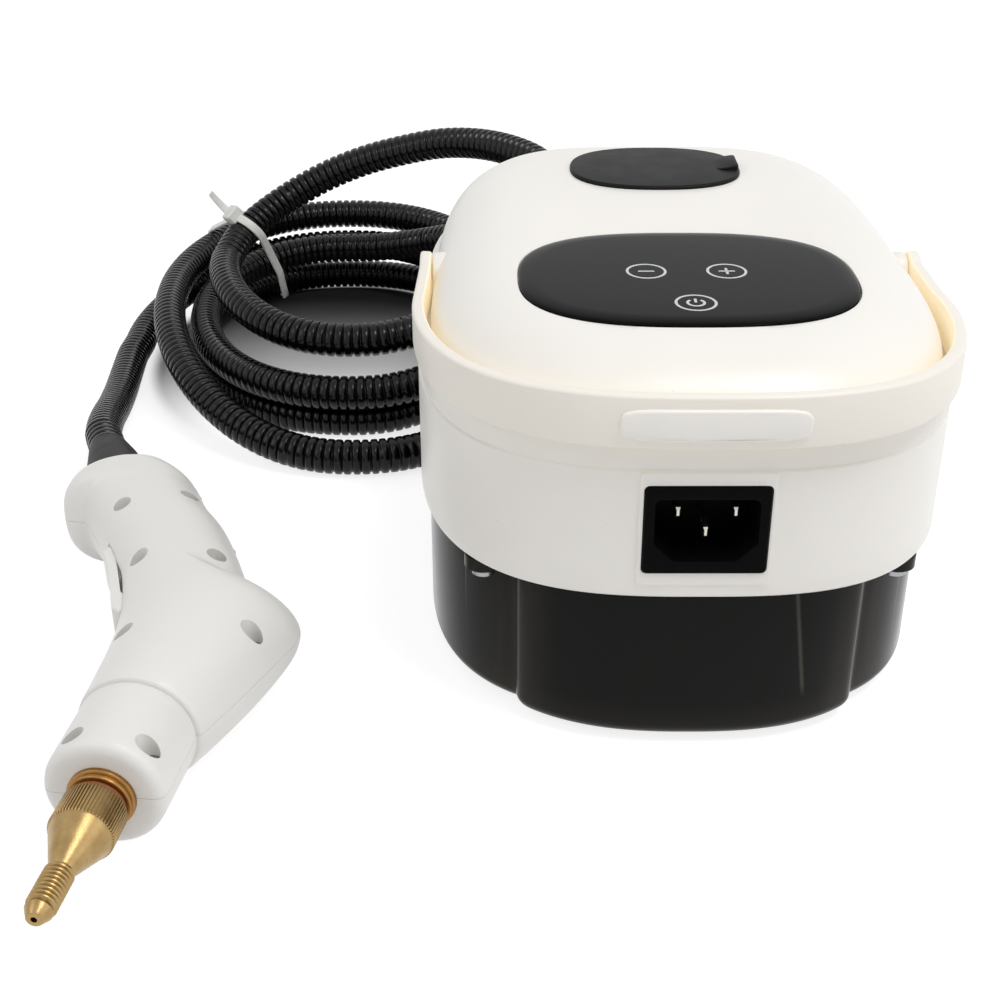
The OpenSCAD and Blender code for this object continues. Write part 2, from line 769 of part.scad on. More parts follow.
module handle_pins() {
    color([0.9, 0.9, 0.89]) both_sides() translate([ear_x, pivot_y, pivot_z]) rotate([0, 90, 0])
        cylinder(r = pivot_r, h = house_half_w + handle_out - ear_x - 0.2);
}

// Mains inlet, drawn in its own plane: x across, y down
module inlet_face(d) {
    square([inlet_w + 2 * d, inlet_h + 2 * d], center = true);
}
module inlet_body(d) {
    square([cavity_w + 2 * socket_wall + 2 * d, cavity_h + 2 * socket_wall + 2 * d], center = true);
}
module cavity_face() {
    w = cavity_w / 2;
    h = cavity_h / 2;
    polygon([[-w, -h], [w, -h], [w, h - cavity_cut], [w - cavity_cut, h], [cavity_cut - w, h],
        [-w, h - cavity_cut]]);
}

module inlet_socket() {
    color([0.05, 0.05, 0.05]) translate([0, -flange_y, inlet_z]) rotate([-90, 0, 0]) difference() {
        union() {
            linear_extrude(flange_t) inlet_face(0);
            linear_extrude(cavity_d + socket_back) inlet_body(0);
        }
        translate([0, 0, -1]) linear_extrude(1 + cavity_d) cavity_face();
        blades(far, far);
    }
}

module blades(before, after) {
    for (p = blade_places)
        translate([p.x - blade_t / 2, p.y - blade_w / 2, blade_in - before])
            cube([blade_t, blade_w, before + after]);
}

module inlet_pins() {
    color([0.8, 0.78, 0.72]) translate([0, -flange_y, inlet_z]) rotate([-90, 0, 0])
        blades(0, cavity_d + socket_back - blade_in + blade_tail);
}

// Pump and water way
module along_y(x, y, z) {
    translate([x, y, z]) rotate([-90, 0, 0]) children();
}

module pump() {
    color([0.55, 0.55, 0.5]) {
        translate([pump_x - pump_w / 2, pump_y, pump_z - pump_h / 2]) cube([pump_w, pump_l, pump_h]);
        along_y(pump_x, pump_y - pump_nose, pump_z) cylinder(r = pump_r, h = pump_l + 2 * pump_nose);
        along_y(pump_x, pump_y - pump_nose - spigot_l, pump_z)
            cylinder(r = nipple_r, h = pump_l + 2 * (pump_nose + spigot_l));
        for (y = [pump_y, pump_y + pump_l - pump_rim])
            translate([pump_x - pump_w / 2 - 1, y, pump_z - pump_h / 2]) cube([pump_w + 2, pump_rim, pump_h + 1]);
    }
}

module pump_mounts() {
    color([0.07, 0.07, 0.07]) for (y = [pump_y + mount_in, pump_y + pump_l - mount_in - mount_l])
        translate([pump_x - pump_w / 2, y, deck_z]) cube([pump_w, mount_l, pump_z - pump_h / 2 - deck_z]);
}

function bend_at(c, u, v) = [for (a = [0:15:90]) c + tube_bend * (cos(a) * u + sin(a) * v)];
module bent_tube(p, r, bore, ref = [0, 0, 1]) {
    tube([for (i = [0:len(p) - 1]) hoop(p[i], heading(p, i), r, bent_sides, ref)],
        [for (i = [0:len(p) - 1]) hoop(p[i], heading(p, i), bore, bent_sides, ref)]);
}

module suction_tube() {
    color([0.85, 0.85, 0.82]) bent_tube(concat([[pump_x, suction_y, suction_low]],
        bend_at([pump_x, suction_y + tube_bend, pump_z - tube_bend], [0, -1, 0], [0, 0, 1]),
        [[pump_x, pump_y - pump_nose, pump_z]]), tube_r, tube_bore, [1, 0, 0]);
}

module suction_filter() {
    color([0.2, 0.2, 0.22]) translate([pump_x, suction_y, suction_low - filter_drop]) difference() {
        cylinder(r = filter_r, h = filter_h);
        translate([0, 0, filter_drop]) cylinder(r = tube_r, h = filter_h);
        translate([0, 0, -1]) cylinder(r = tube_r - 1, h = filter_h);
        for (a = [0:45:135])
            rotate([0, 0, a]) translate([-filter_r - 1, -0.5, 1]) cube([2 * filter_r + 2, 1, filter_drop - 2]);
    }
}

module water_tube() {
    color([0.85, 0.85, 0.82]) bent_tube(concat([[pump_x, pump_y + pump_l + pump_nose, pump_z]],
        bend_at([pump_x - tube_bend, heat_in_y - tube_bend, pump_z], [1, 0, 0], [0, 1, 0]),
        [[heater_x + heater_w / 2, heat_in_y, pump_z]]), tube_r, tube_bore);
}

// Heater
module heater_block() {
    color([0.7, 0.71, 0.72]) {
        translate([heater_x - heater_w / 2, heater_y, heater_z]) cube([heater_w, heater_l, heater_h]);
        translate([heater_x - heater_w / 2 + lid_in, heater_y + lid_in, heater_z + heater_h])
            cube([heater_w - 2 * lid_in, heater_l - 2 * lid_in, lid_t]);
        for (x = [-1, 1], y = [heater_screw_in, heater_l - heater_screw_in])
            translate([heater_x + x * (heater_w / 2 - heater_screw_in), heater_y + y, heater_z + heater_h + lid_t])
                cylinder(r = screw_head_r, h = screw_head_h);
        translate([heater_x + heater_w / 2, heat_in_y, pump_z]) rotate([0, 90, 0])
            cylinder(r = nipple_r, h = spigot_l);
        along_y(gland_x, heater_y + heater_l, gland_z) cylinder(r = steam_bore / 2 - run_gap, h = spigot_l);
        for (x = heater_rod_x)
            along_y(heater_x + x, heater_y - heater_rod_out, heater_z + heater_screw_in)
                cylinder(r = heater_rod_r, h = heater_rod_l);
    }
}

module heater_brackets() {
    web_h = heater_z - deck_z - 2 * bracket_t;
    color([0.66, 0.67, 0.69]) for (y = [bracket_in, heater_l - bracket_in - bracket_w])
        translate([heater_x - heater_w / 2, heater_y + y, deck_z]) {
            cube([heater_w, bracket_w, bracket_t]);
            translate([0, bracket_w / 2 - bracket_t / 2, 0]) cube([heater_w, bracket_t, 2 * bracket_t + web_h]);
            translate([0, 0, bracket_t + web_h]) cube([heater_w, bracket_w, bracket_t]);
        }
}

module thermostat() {
    color([0.25, 0.2, 0.17]) translate([heater_x, heater_y + sensor_in, lid_z]) {
        cylinder(r = sensor_rim.x, h = sensor_rim.y);
        cylinder(r = sensor_can.x, h = sensor_can.y);
        for (x = [-sensor_tab_x, sensor_tab_x])
            translate([x - sensor_tab.x / 2, -sensor_tab.y / 2, sensor_can.y - 1]) cube(sensor_tab);
    }
}

module thermal_fuse() {
    color([0.75, 0.72, 0.6]) translate([heater_x, heater_y + fuse_in, lid_z]) {
        translate([-fuse_clip.x / 2, -fuse_clip.y / 2, 0]) cube(fuse_clip);
        translate([-fuse_can.y / 2, 0, fuse_z]) rotate([0, 90, 0]) cylinder(r = fuse_can.x, h = fuse_can.y);
        translate([-fuse_wire.y / 2, 0, fuse_z]) rotate([0, 90, 0]) cylinder(r = fuse_wire.x, h = fuse_wire.y);
        translate([-fuse_foot.x / 2, -fuse_foot.y / 2, fuse_clip.z / 2]) cube(fuse_foot);
    }
}

module steam_tube() {
    l = gland_end + steam_in_hose - heater_y - heater_l;
    color([0.93, 0.93, 0.9]) along_y(gland_x, heater_y + heater_l, gland_z) difference() {
        cylinder(r = steam_d / 2, h = l);
        translate([0, 0, -1]) cylinder(r = steam_bore / 2, h = l + 2);
    }
}

module hose_gland() {
    l = gland_end - gland_y;
    color([0.06, 0.06, 0.065]) along_y(gland_x, gland_y - gland_pad - gland_nut_t - 1, gland_z)
        difference() {
            union() {
                cylinder(r = gland_r, h = gland_pad + gland_nut_t + 1);
                translate([0, 0, gland_pad + gland_nut_t + 1]) cylinder(r = gland_flange_r, h = l - 1);
                translate([0, 0, gland_pad + gland_nut_t + l]) cylinder(r = gland_flange_r - 1, h = 1);
            }
            translate([0, 0, -1]) cylinder(r = steam_d / 2, h = far);
        }
}

module gland_nut() {
    color([0.1, 0.1, 0.1]) along_y(gland_x, gland_y - gland_pad - gland_nut_t, gland_z) difference() {
        cylinder(r = gland_nut_r, h = gland_nut_t, $fn = 6);
        translate([0, 0, -1]) cylinder(r = gland_r, h = gland_nut_t + 2);
    }
}

// Hose. A route is a list of points; the first and the last stretch of a free route run straight
function pt(p, i) = p[max(0, min(len(p) - 1, i))];
function spline(p, i, t) = 0.5 * (2 * p[i] + (pt(p, i + 1) - pt(p, i - 1)) * t
    + (2 * pt(p, i - 1) - 5 * p[i] + 4 * pt(p, i + 1) - pt(p, i + 2)) * t * t
    + (3 * p[i] - pt(p, i - 1) - 3 * pt(p, i + 1) + pt(p, i + 2)) * t * t * t);
function free_point(p, i, t) =
    i == 0 || i == len(p) - 2 ? p[i] + (p[i + 1] - p[i]) * t : spline(p, i, t);
function route(p, pitch) = concat([for (i = [0:len(p) - 2])
    let (n = max(1, round(norm(p[i + 1] - p[i]) / pitch)))
    for (k = [0:n - 1]) free_point(p, i, k / n)], [p[len(p) - 1]]);
function unit(v) = v / norm(v);
function heading(p, i) = unit(pt(p, i + 1) - pt(p, i - 1));
function hoop(c, dir, r, sides, ref = [0, 0, 1]) = let (x = unit(cross(dir, ref)), z = cross(x, dir))
    [for (k = [0:sides - 1]) let (a = (k + 0.5) * 360 / sides) c + r * (cos(a) * x + sin(a) * z)];

module ribbed(p, first, last) {
    fine = route(p, rib_pitch);
    end = len(fine) - 1;
    bore = route(p, bore_pitch);
    rings = [for (i = [0:end]) each i == end ?
        [hoop(fine[i], last, hose_d / 2, hose_sides)] :
        [hoop(fine[i], i == 0 ? first : heading(fine, i), hose_d / 2, hose_sides),
            hoop((fine[i] + fine[i + 1]) / 2, unit(fine[i + 1] - fine[i]), hose_d / 2 - rib_depth, hose_sides)]];
    tube(rings, [for (i = [0:len(bore) - 1])
        hoop(bore[i], i == 0 ? first : i == len(bore) - 1 ? last : heading(bore, i), hose_bore / 2, hose_sides)]);
}

// A wall between an outer and an inner list of rings, closed by a flat ring face at each end
module tube(outer, inner) {
    n = len(outer[0]);
    a = len(outer) - 1;
    b = len(inner) - 1;
    base = (a + 1) * n;
    faces = concat(
        [for (k = [0:a - 1], i = [0:n - 1]) let (j = (i + 1) % n)
            each [[k * n + i, (k + 1) * n + j, k * n + j], [k * n + i, (k + 1) * n + i, (k + 1) * n + j]]],
        [for (k = [0:b - 1], i = [0:n - 1]) let (j = (i + 1) % n)
            each [[base + k * n + i, base + k * n + j, base + (k + 1) * n + j],
                [base + k * n + i, base + (k + 1) * n + j, base + (k + 1) * n + i]]],
        [for (i = [0:n - 1]) let (j = (i + 1) % n)
            each [[i, j, base + j], [i, base + j, base + i],
                [a * n + i, base + b * n + i, base + b * n + j], [a * n + i, base + b * n + j, a * n + j]]]);
    polyhedron(points = concat([for (r = outer) each r], [for (r = inner) each r]), faces = faces,
        convexity = 10);
}

// The coil: quarter turns between the four sides, each side with its own reach and height
sides_xy = [[-1, 0], [0, -1], [1, 0], [0, 1]];
function coil_point(k, f) = let (a = sides_xy[k % 4], b = sides_xy[(k + 1) % 4], w = (1 - cos(2 * f)) / 2,
    u = coil_reach[k] * pow(cos(f), 2 / coil_power), v = coil_reach[k + 1] * pow(sin(f), 2 / coil_power),
    y = u * a.y + v * b.y)
    [coil_xy.x + u * a.x + v * b.x - coil_lean * y, coil_xy.y + y, coil_z[k] * (1 - w) + coil_z[k + 1] * w];
coil_route = concat([for (k = [0:len(coil_reach) - 2], i = [0:5]) coil_point(k, i * 15)],
    [coil_point(len(coil_reach) - 2, 90)]);
coil_fine = [for (k = [0:len(coil_reach) - 2], i = [0:11]) coil_point(k, i * 7.5)];
coil_gap = min([for (i = [0:len(coil_fine) - 1], j = [i + 12:1:len(coil_fine) - 1])
    norm(coil_fine[i] - coil_fine[j])]) - hose_d;
echo(coil_gap = coil_gap);

// Directions in which the lead, the coil and the tail meet
lead_join = unit(coil_route[1] - lead_route[len(lead_route) - 2]);
tail_join = unit(tail_route[1] - coil_route[len(coil_route) - 2]);
lead_out = unit(lead_route[1] - lead_route[0]);
tail_in = unit(tail_route[len(tail_route) - 1] - tail_route[len(tail_route) - 2]);
function coil_heading(i) = i == 0 ? lead_join : i == len(coil_route) - 1 ? tail_join : heading(coil_route, i);

module hose_lead() {
    color([0.05, 0.05, 0.055]) ribbed(lead_route, lead_out, lead_join);
}

module hose_coil() {
    color([0.05, 0.05, 0.055]) tube(
        [for (i = [0:len(coil_route) - 1]) hoop(coil_route[i], coil_heading(i), hose_d / 2, coil_sides)],
        [for (i = [0:len(coil_route) - 1]) hoop(coil_route[i], coil_heading(i), hose_bore / 2, coil_sides)]);
}

module hose_tail() {
    color([0.05, 0.05, 0.055]) ribbed(tail_route, tail_join, tail_in);
}

module cable_tie() {
    color([0.85, 0.87, 0.85, 0.7]) translate([tie_xy.x, tie_xy.y, 0]) rotate([0, 0, tie_turn]) {
        rotate([90, 0, 0]) linear_extrude(tie_w, center = true) difference() {
            hull() for (p = tie_strands) translate([p.x, p.y]) circle(r = p.z + tie_t, $fn = 32);
            hull() for (p = tie_strands) translate([p.x, p.y]) circle(r = p.z, $fn = 32);
        }
        translate(tie_head) cube([6, 7.5, 5], center = true);
    }
}

// Steam gun. Drawn flat about its parting plane: x to the right, y back from the front face
module gun_place() {
    translate([gun_xy.x, gun_xy.y, gun_half_t]) rotate([0, 0, -gun_turn]) children();
}
function gun_at(p) = [gun_xy.x + p.x * cos(gun_turn) + p.y * sin(gun_turn),
    gun_xy.y - p.x * sin(gun_turn) + p.y * cos(gun_turn), gun_half_t];

function gun_ring(s, d, move) = let (c = (s[0] + s[1]) / 2 + move, a = (s[0] - s[1]) / 2, w = norm(a) - d,
    h = s[2] * gun_half_t - d, n = s[3])
    [for (k = [0:gun_sides - 1]) let (t = (k + 0.5) * 360 / gun_sides)
        let (u = w * sign(cos(t)) * pow(abs(cos(t)), 2 / n))
        [c.x + a.x / norm(a) * u, c.y + a.y / norm(a) * u, -h * sign(sin(t)) * pow(abs(sin(t)), 2 / n)]];

module gun_solid(d) {
    last = len(gun_stations) - 1;
    skin([for (i = [0:last]) gun_ring(gun_stations[i], d,
        i == 0 ? [0, d] : i == last ? -2 * d * boot_dir : [0, 0])]);
}

module gun_half(up) {
    translate([-far, -far, up ? 0 : -far]) cube([2 * far, 2 * far, far]);
}

module along_boot(from) {
    translate([boot_base.x, boot_base.y, 0]) rotate([0, 0, atan2(boot_dir.y, boot_dir.x)])
        rotate([0, 90, 0]) translate([0, 0, from]) children();
}

module gun_bosses() {
    for (p = gun_screw_places)
        translate([p.x, p.y, -far / 2]) cylinder(r = boss_r, h = far);
    for (z = [-far, trigger_w / 2 + seat_gap])
        translate([pin_xy.x, pin_xy.y, z]) cylinder(r = eye_r, h = far - (z < 0 ? trigger_w / 2 + seat_gap : 0));
}

module gun_shell(up) {
    difference() {
        union() {
            intersection() {
                gun_half(up);
                union() {
                    difference() {
                        gun_solid(0);
                        gun_solid(gun_wall);
                    }
                    intersection() {
                        gun_solid(gun_wall / 2);
                        gun_bosses();
                    }
                    along_boot(-collar_seat_l) cylinder(r = boot_r, h = collar_seat_l);
                }
            }
            if (!up) {
                translate([switch_xy.x, switch_xy.y, 0]) rotate([0, 0, switch_turn])
                    translate([-switch_w / 2, -switch_l / 2, -gun_half_t / 2 - 3])
                        cube([switch_w, switch_l, gun_half_t / 2 + 3 - switch_h / 2]);
                translate([stop_xy.x, stop_xy.y, -gun_half_t + gun_wall / 2])
                    cylinder(r = stop_r, h = gun_half_t - gun_wall / 2 + spring_half_h);
            }
        }
        along_boot(0) cylinder(r = far / 4, h = far);
        along_boot(-boot_spigot_l - 1) cylinder(r = boot_spigot_r, h = boot_spigot_l + 2);
        along_y(0, -1, 0) cylinder(r = sleeve_r, h = 10);
        translate([0, 0, -trigger_w / 2 - seat_gap]) linear_extrude(trigger_w + 2 * seat_gap)
            polygon(window_outline);
        translate([pin_xy.x, pin_xy.y, -pin_half_l]) cylinder(r = trigger_pin_r, h = 2 * pin_half_l);
        for (p = gun_screw_places)
            translate([p.x, p.y, 0]) {
                translate([0, 0, recess_z]) cylinder(r = recess_r, h = far);
                if (up) cylinder(r = gun_screw_r + run_gap, h = far, center = true);
                if (!up) translate([0, 0, -gun_bite]) cylinder(r = gun_screw_r, h = gun_bite + 1);
            }
    }
}

module gun_upper_shell() {
    color([0.94, 0.94, 0.93]) gun_place() gun_shell(true);
}

module gun_lower_shell() {
    color([0.92, 0.92, 0.91]) gun_place() gun_shell(false);
}

module gun_screws() {
    color([0.75, 0.76, 0.78]) gun_place() for (p = gun_screw_places)
        translate([p.x, p.y, -gun_bite]) {
            cylinder(r = gun_screw_r, h = gun_bite + recess_z);
            translate([0, 0, gun_bite + recess_z]) cylinder(r = recess_r - seat_gap, h = 2);
        }
}

module trigger() {
    color([0.9, 0.9, 0.89]) gun_place() difference() {
        union() {
            translate([0, 0, -trigger_w / 2]) linear_extrude(trigger_w) polygon(trigger_outline);
            translate([pin_xy.x, pin_xy.y, -trigger_w / 2]) cylinder(r = eye_r, h = trigger_w);
        }
        translate([pin_xy.x, pin_xy.y, -far / 2]) cylinder(r = trigger_pin_r + run_gap, h = far);
        translate([pin_xy.x, pin_xy.y, -spring_room / 2]) cylinder(r = eye_r + spring_out, h = spring_room);
    }
}

module trigger_pin() {
    color([0.75, 0.76, 0.78]) gun_place() translate([pin_xy.x, pin_xy.y, -pin_half_l])
        cylinder(r = trigger_pin_r, h = 2 * pin_half_l);
}

spring_path = concat([[spring_still.x, spring_still.y, -spring_half_h]],
    [for (k = [0:spring_steps]) let (t = k / spring_steps, a = spring_from + t * (spring_to - spring_from))
        [pin_xy.x + spring_r * cos(a), pin_xy.y + spring_r * sin(a), spring_half_h * (2 * t - 1)]],
    [[spring_moving.x, spring_moving.y, spring_half_h]]);

module trigger_spring() {
    color([0.7, 0.71, 0.73]) gun_place()
        skin([for (i = [len(spring_path) - 1:-1:0]) hoop(spring_path[i], heading(spring_path, i), wire_r, 6)]);
}

module trigger_switch() {
    color([0.1, 0.1, 0.11]) gun_place() translate([switch_xy.x, switch_xy.y, 0])
        rotate([0, 0, switch_turn]) {
            cube([switch_w, switch_l, switch_h], center = true);
            translate([-switch_w / 2 - button_l, 0, 0]) rotate([0, 90, 0]) cylinder(r = 1.2, h = button_l + 1);
            for (y = [-4, 0, 4])
                translate([switch_w / 2, y, 0]) cube([4, 0.6, 3], center = true);
        }
}

module gun_steam_pipe() {
    color([0.93, 0.93, 0.9]) gun_place() bent_tube(route(pipe_route, pipe_step), steam_d / 2, steam_bore / 2);
}

module strain_boot() {
    color([0.06, 0.06, 0.065]) gun_place() along_boot(0) rotate_extrude()
        polygon([[boot_bore, -boot_spigot_l], [boot_spigot_r, -boot_spigot_l], [boot_spigot_r, 0],
            [boot_r, 0], [boot_r, 3], [boot_r - 1.5, boot_l / 3], [boot_r - 3, boot_l * 2 / 3],
            [boot_tip_r, boot_l], [boot_bore, boot_l]]);
}

module nozzle_socket() {
    color([0.72, 0.6, 0.32]) gun_place() along_y(0, -ring_t, 0) difference() {
        union() {
            cylinder(r = ring_r, h = ring_t);
            cylinder(r = sleeve_r, h = ring_t + sleeve_l);
        }
        translate([0, 0, -1]) cylinder(r = spigot_r, h = 1 + ring_t + spigot_in);
        translate([0, 0, -1]) cylinder(r = steam_bore / 2, h = far);
        translate([0, 0, ring_t + pipe_start]) cylinder(r = steam_d / 2, h = far);
    }
}

module nozzle_oring() {
    color([0.06, 0.06, 0.06]) gun_place() along_y(0, -ring_t - oring_t, 0) rotate_extrude()
        polygon([[spigot_r, 0], [oring_r - 0.5, 0], [oring_r, 0.5], [oring_r, oring_t - 0.5],
            [oring_r - 0.5, oring_t], [spigot_r, oring_t]]);
}

module nozzle() {
    l = tip_l + stub_l + cone_l + nut_l;
    color([0.05, 0.05, 0.055]) gun_place() along_y(0, -ring_t - oring_t - l, 0) difference() {
        union() {
            cylinder(r1 = stub_r - tip_in, r2 = stub_r, h = tip_l);
            translate([0, 0, tip_l]) cylinder(r = stub_r, h = stub_l);
            translate([0, 0, tip_l + stub_l]) cylinder(r1 = stub_r, r2 = nut_r, h = cone_l);
            translate([0, 0, tip_l + stub_l + cone_l]) linear_extrude(nut_l) difference() {
                circle(r = nut_r);
                for (a = [0:15:345])
                    rotate(a) translate([nut_r, 0]) circle(r = knurl_r, $fn = 16);
            }
            translate([0, 0, l]) cylinder(r = spigot_r, h = oring_t + ring_t + spigot_in);
        }
        translate([0, 0, -1]) cylinder(r = outlet_r, h = far);
    }
}

water_tank();
rubber_feet();
tank_gasket();
tank_screws();
chassis_plate();
main_housing();
top_cover();
cover_screws();
control_panel();
touch_board();
control_board();
fill_neck();
fill_cover();
carry_handle();
handle_pins();
inlet_socket();
inlet_pins();
pump();
pump_mounts();
suction_tube();
suction_filter();
water_tube();
heater_block();
heater_brackets();
thermostat();
thermal_fuse();
steam_tube();
hose_gland();
gland_nut();
hose_lead();
hose_coil();
hose_tail();
cable_tie();
strain_boot();
gun_upper_shell();
gun_lower_shell();
gun_screws();
trigger();
trigger_pin();
trigger_spring();
trigger_switch();
gun_steam_pipe();
nozzle_socket();
nozzle_oring();
nozzle();
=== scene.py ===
"""Visual model of a handheld steam cleaner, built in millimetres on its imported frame."""

import json
import logging
import math
from collections.abc import Callable, Sequence
from dataclasses import dataclass
from enum import Enum

import bmesh
import bpy
import numpy as np
from mathutils import Matrix, Vector


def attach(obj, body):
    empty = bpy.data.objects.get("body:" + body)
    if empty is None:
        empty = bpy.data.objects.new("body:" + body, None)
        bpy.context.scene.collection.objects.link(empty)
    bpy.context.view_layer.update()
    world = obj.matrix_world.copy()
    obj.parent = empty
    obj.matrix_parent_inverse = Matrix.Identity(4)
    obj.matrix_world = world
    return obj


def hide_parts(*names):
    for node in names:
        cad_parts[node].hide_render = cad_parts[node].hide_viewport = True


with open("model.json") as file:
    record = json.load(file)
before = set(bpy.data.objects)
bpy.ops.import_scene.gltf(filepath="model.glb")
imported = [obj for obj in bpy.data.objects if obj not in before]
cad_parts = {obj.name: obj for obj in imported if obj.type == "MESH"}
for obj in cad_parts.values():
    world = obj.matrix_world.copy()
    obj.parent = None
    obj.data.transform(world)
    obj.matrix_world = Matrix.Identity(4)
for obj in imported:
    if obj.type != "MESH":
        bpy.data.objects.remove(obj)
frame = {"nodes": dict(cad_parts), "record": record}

MM = 0.001
SIDES = 48
SMALL_SIDES = 32
EDGE = 32.0
CURVED_EDGE = 40.0
SHALLOW_EDGE = 28.0
Array = np.ndarray
Color = tuple[float, float, float]
log = logging.getLogger("steam_cleaner")


class Body(str, Enum):
    """Moving bodies of the frame."""

    MACHINE = "machine"
    HANDLE = "handle"
    LID = "lid"
    TRIGGER = "trigger_lever"


class Slot(str, Enum):
    """Material slots of the record."""

    HOUSING = "housing"
    TANK = "tank"
    PANEL = "panel"
    SEAL = "seal"
    INNER = "inner_white"
    BLACK_PLASTIC = "black_plastic"
    BLACK_RUBBER = "black_rubber"
    HOSE = "hose"
    TIE = "tie"
    TUBE = "tube"
    STEEL = "steel"
    CONTACT = "contact"
    BRASS = "brass"
    CASTINGS = "castings"
    PUMP = "pump_body"
    BOARDS = "boards"
    SENSORS = "sensors"


class Join(str, Enum):
    """How one form meets an object."""

    CUT = "DIFFERENCE"
    ADD = "UNION"


class Key(Enum):
    """Keys printed on the panel, with their places on it."""

    MINUS = (-10.8, 1.4)
    PLUS = (10.8, 1.4)
    POWER = (0.0, -20.9)


def srgb(code: str) -> Color:
    """Turns a hex colour into linear values.

    Args:
        code: Six hex digits.

    Returns:
        Linear red, green and blue.
    """
    parts = [int(code[i : i + 2], 16) / 255 for i in (0, 2, 4)]
    return tuple(c / 12.92 if c < 0.04045 else ((c + 0.055) / 1.055) ** 2.4 for c in parts)


def operator(operation: str, swap: bool = False) -> Callable[["Value", "Value | float"], "Value"]:
    """Returns a method that joins two values by a Math node."""

    def method(self: "Value", other: "Value | float") -> "Value":
        """Adds the node."""
        return self.math(operation, other, swap=swap)

    return method


class Value:
    """A value socket with arithmetic."""

    def __init__(self, nodes: "Nodes", socket: bpy.types.NodeSocket) -> None:
        """Keeps the socket."""
        self.nodes = nodes
        self.socket = socket

    def math(self, operation: str, *others: "Value | float", swap: bool = False) -> "Value":
        """Adds a Math node.

        Args:
            operation: The node's operation.
            others: Further operands.
            swap: Whether the first other operand comes first.

        Returns:
            The node's output.
        """
        terms = [self, *others]
        if swap:
            terms[0], terms[1] = terms[1], terms[0]
        return self.nodes.value("ShaderNodeMath", {"operation": operation}, dict(enumerate(terms)))

    __add__ = __radd__ = operator("ADD")
    __mul__ = __rmul__ = operator("MULTIPLY")
    __sub__, __rsub__ = operator("SUBTRACT"), operator("SUBTRACT", True)
    __truediv__, __rtruediv__ = operator("DIVIDE"), operator("DIVIDE", True)
    __pow__ = operator("POWER")
    __lt__ = operator("LESS_THAN")

    def __abs__(self) -> "Value":
        """Returns the size without the sign."""
        return self.math("ABSOLUTE")

    def sin(self) -> "Value":
        """Returns the sine."""
        return self.math("SINE")

    def step(self, low: float, high: float) -> "Value":
        """Returns a smooth step from 0 at low to 1 at high."""
        settings = {"interpolation_type": "SMOOTHSTEP"}
        return self.nodes.value("ShaderNodeMapRange", settings, {0: self, 1: low, 2: high})

    def bell(self, centre: float, width: float) -> "Value":
        """Returns a soft mask, 1 at centre and 0 beyond width."""
        return 1.0 - abs(self - centre).step(0.0, width)


class Nodes:
    """Adds nodes to a shader or geometry tree."""

    def __init__(self, tree: bpy.types.NodeTree) -> None:
        """Keeps the tree."""
        self.tree = tree

    def add(self, kind: str, settings: dict | None = None, inputs: dict | None = None) -> bpy.types.Node:
        """Adds one node.

        Args:
            kind: The node's type.
            settings: Its properties, set first.
            inputs: Values or links by socket name or number.

        Returns:
            The node.
        """
        node = self.tree.nodes.new(kind)
        for key, item in (settings or {}).items():
            setattr(node, key, item)
        for key, item in (inputs or {}).items():
            self.feed(node.inputs[key], item)
        return node

    def feed(self, target: bpy.types.NodeSocket, item: object) -> None:
        """Links or sets one socket."""
        if isinstance(item, Value):
            item = item.socket
        if isinstance(item, bpy.types.NodeSocket):
            self.tree.links.new(item, target)
        elif isinstance(item, tuple) and len(item) == 3 and len(target.default_value) == 4:
            target.default_value = (*item, 1.0)
        else:
            target.default_value = item

    def value(self, kind: str, settings: dict | None = None, inputs: dict | None = None) -> Value:
        """Adds one node and wraps its first output."""
        return Value(self, self.add(kind, settings, inputs).outputs[0])


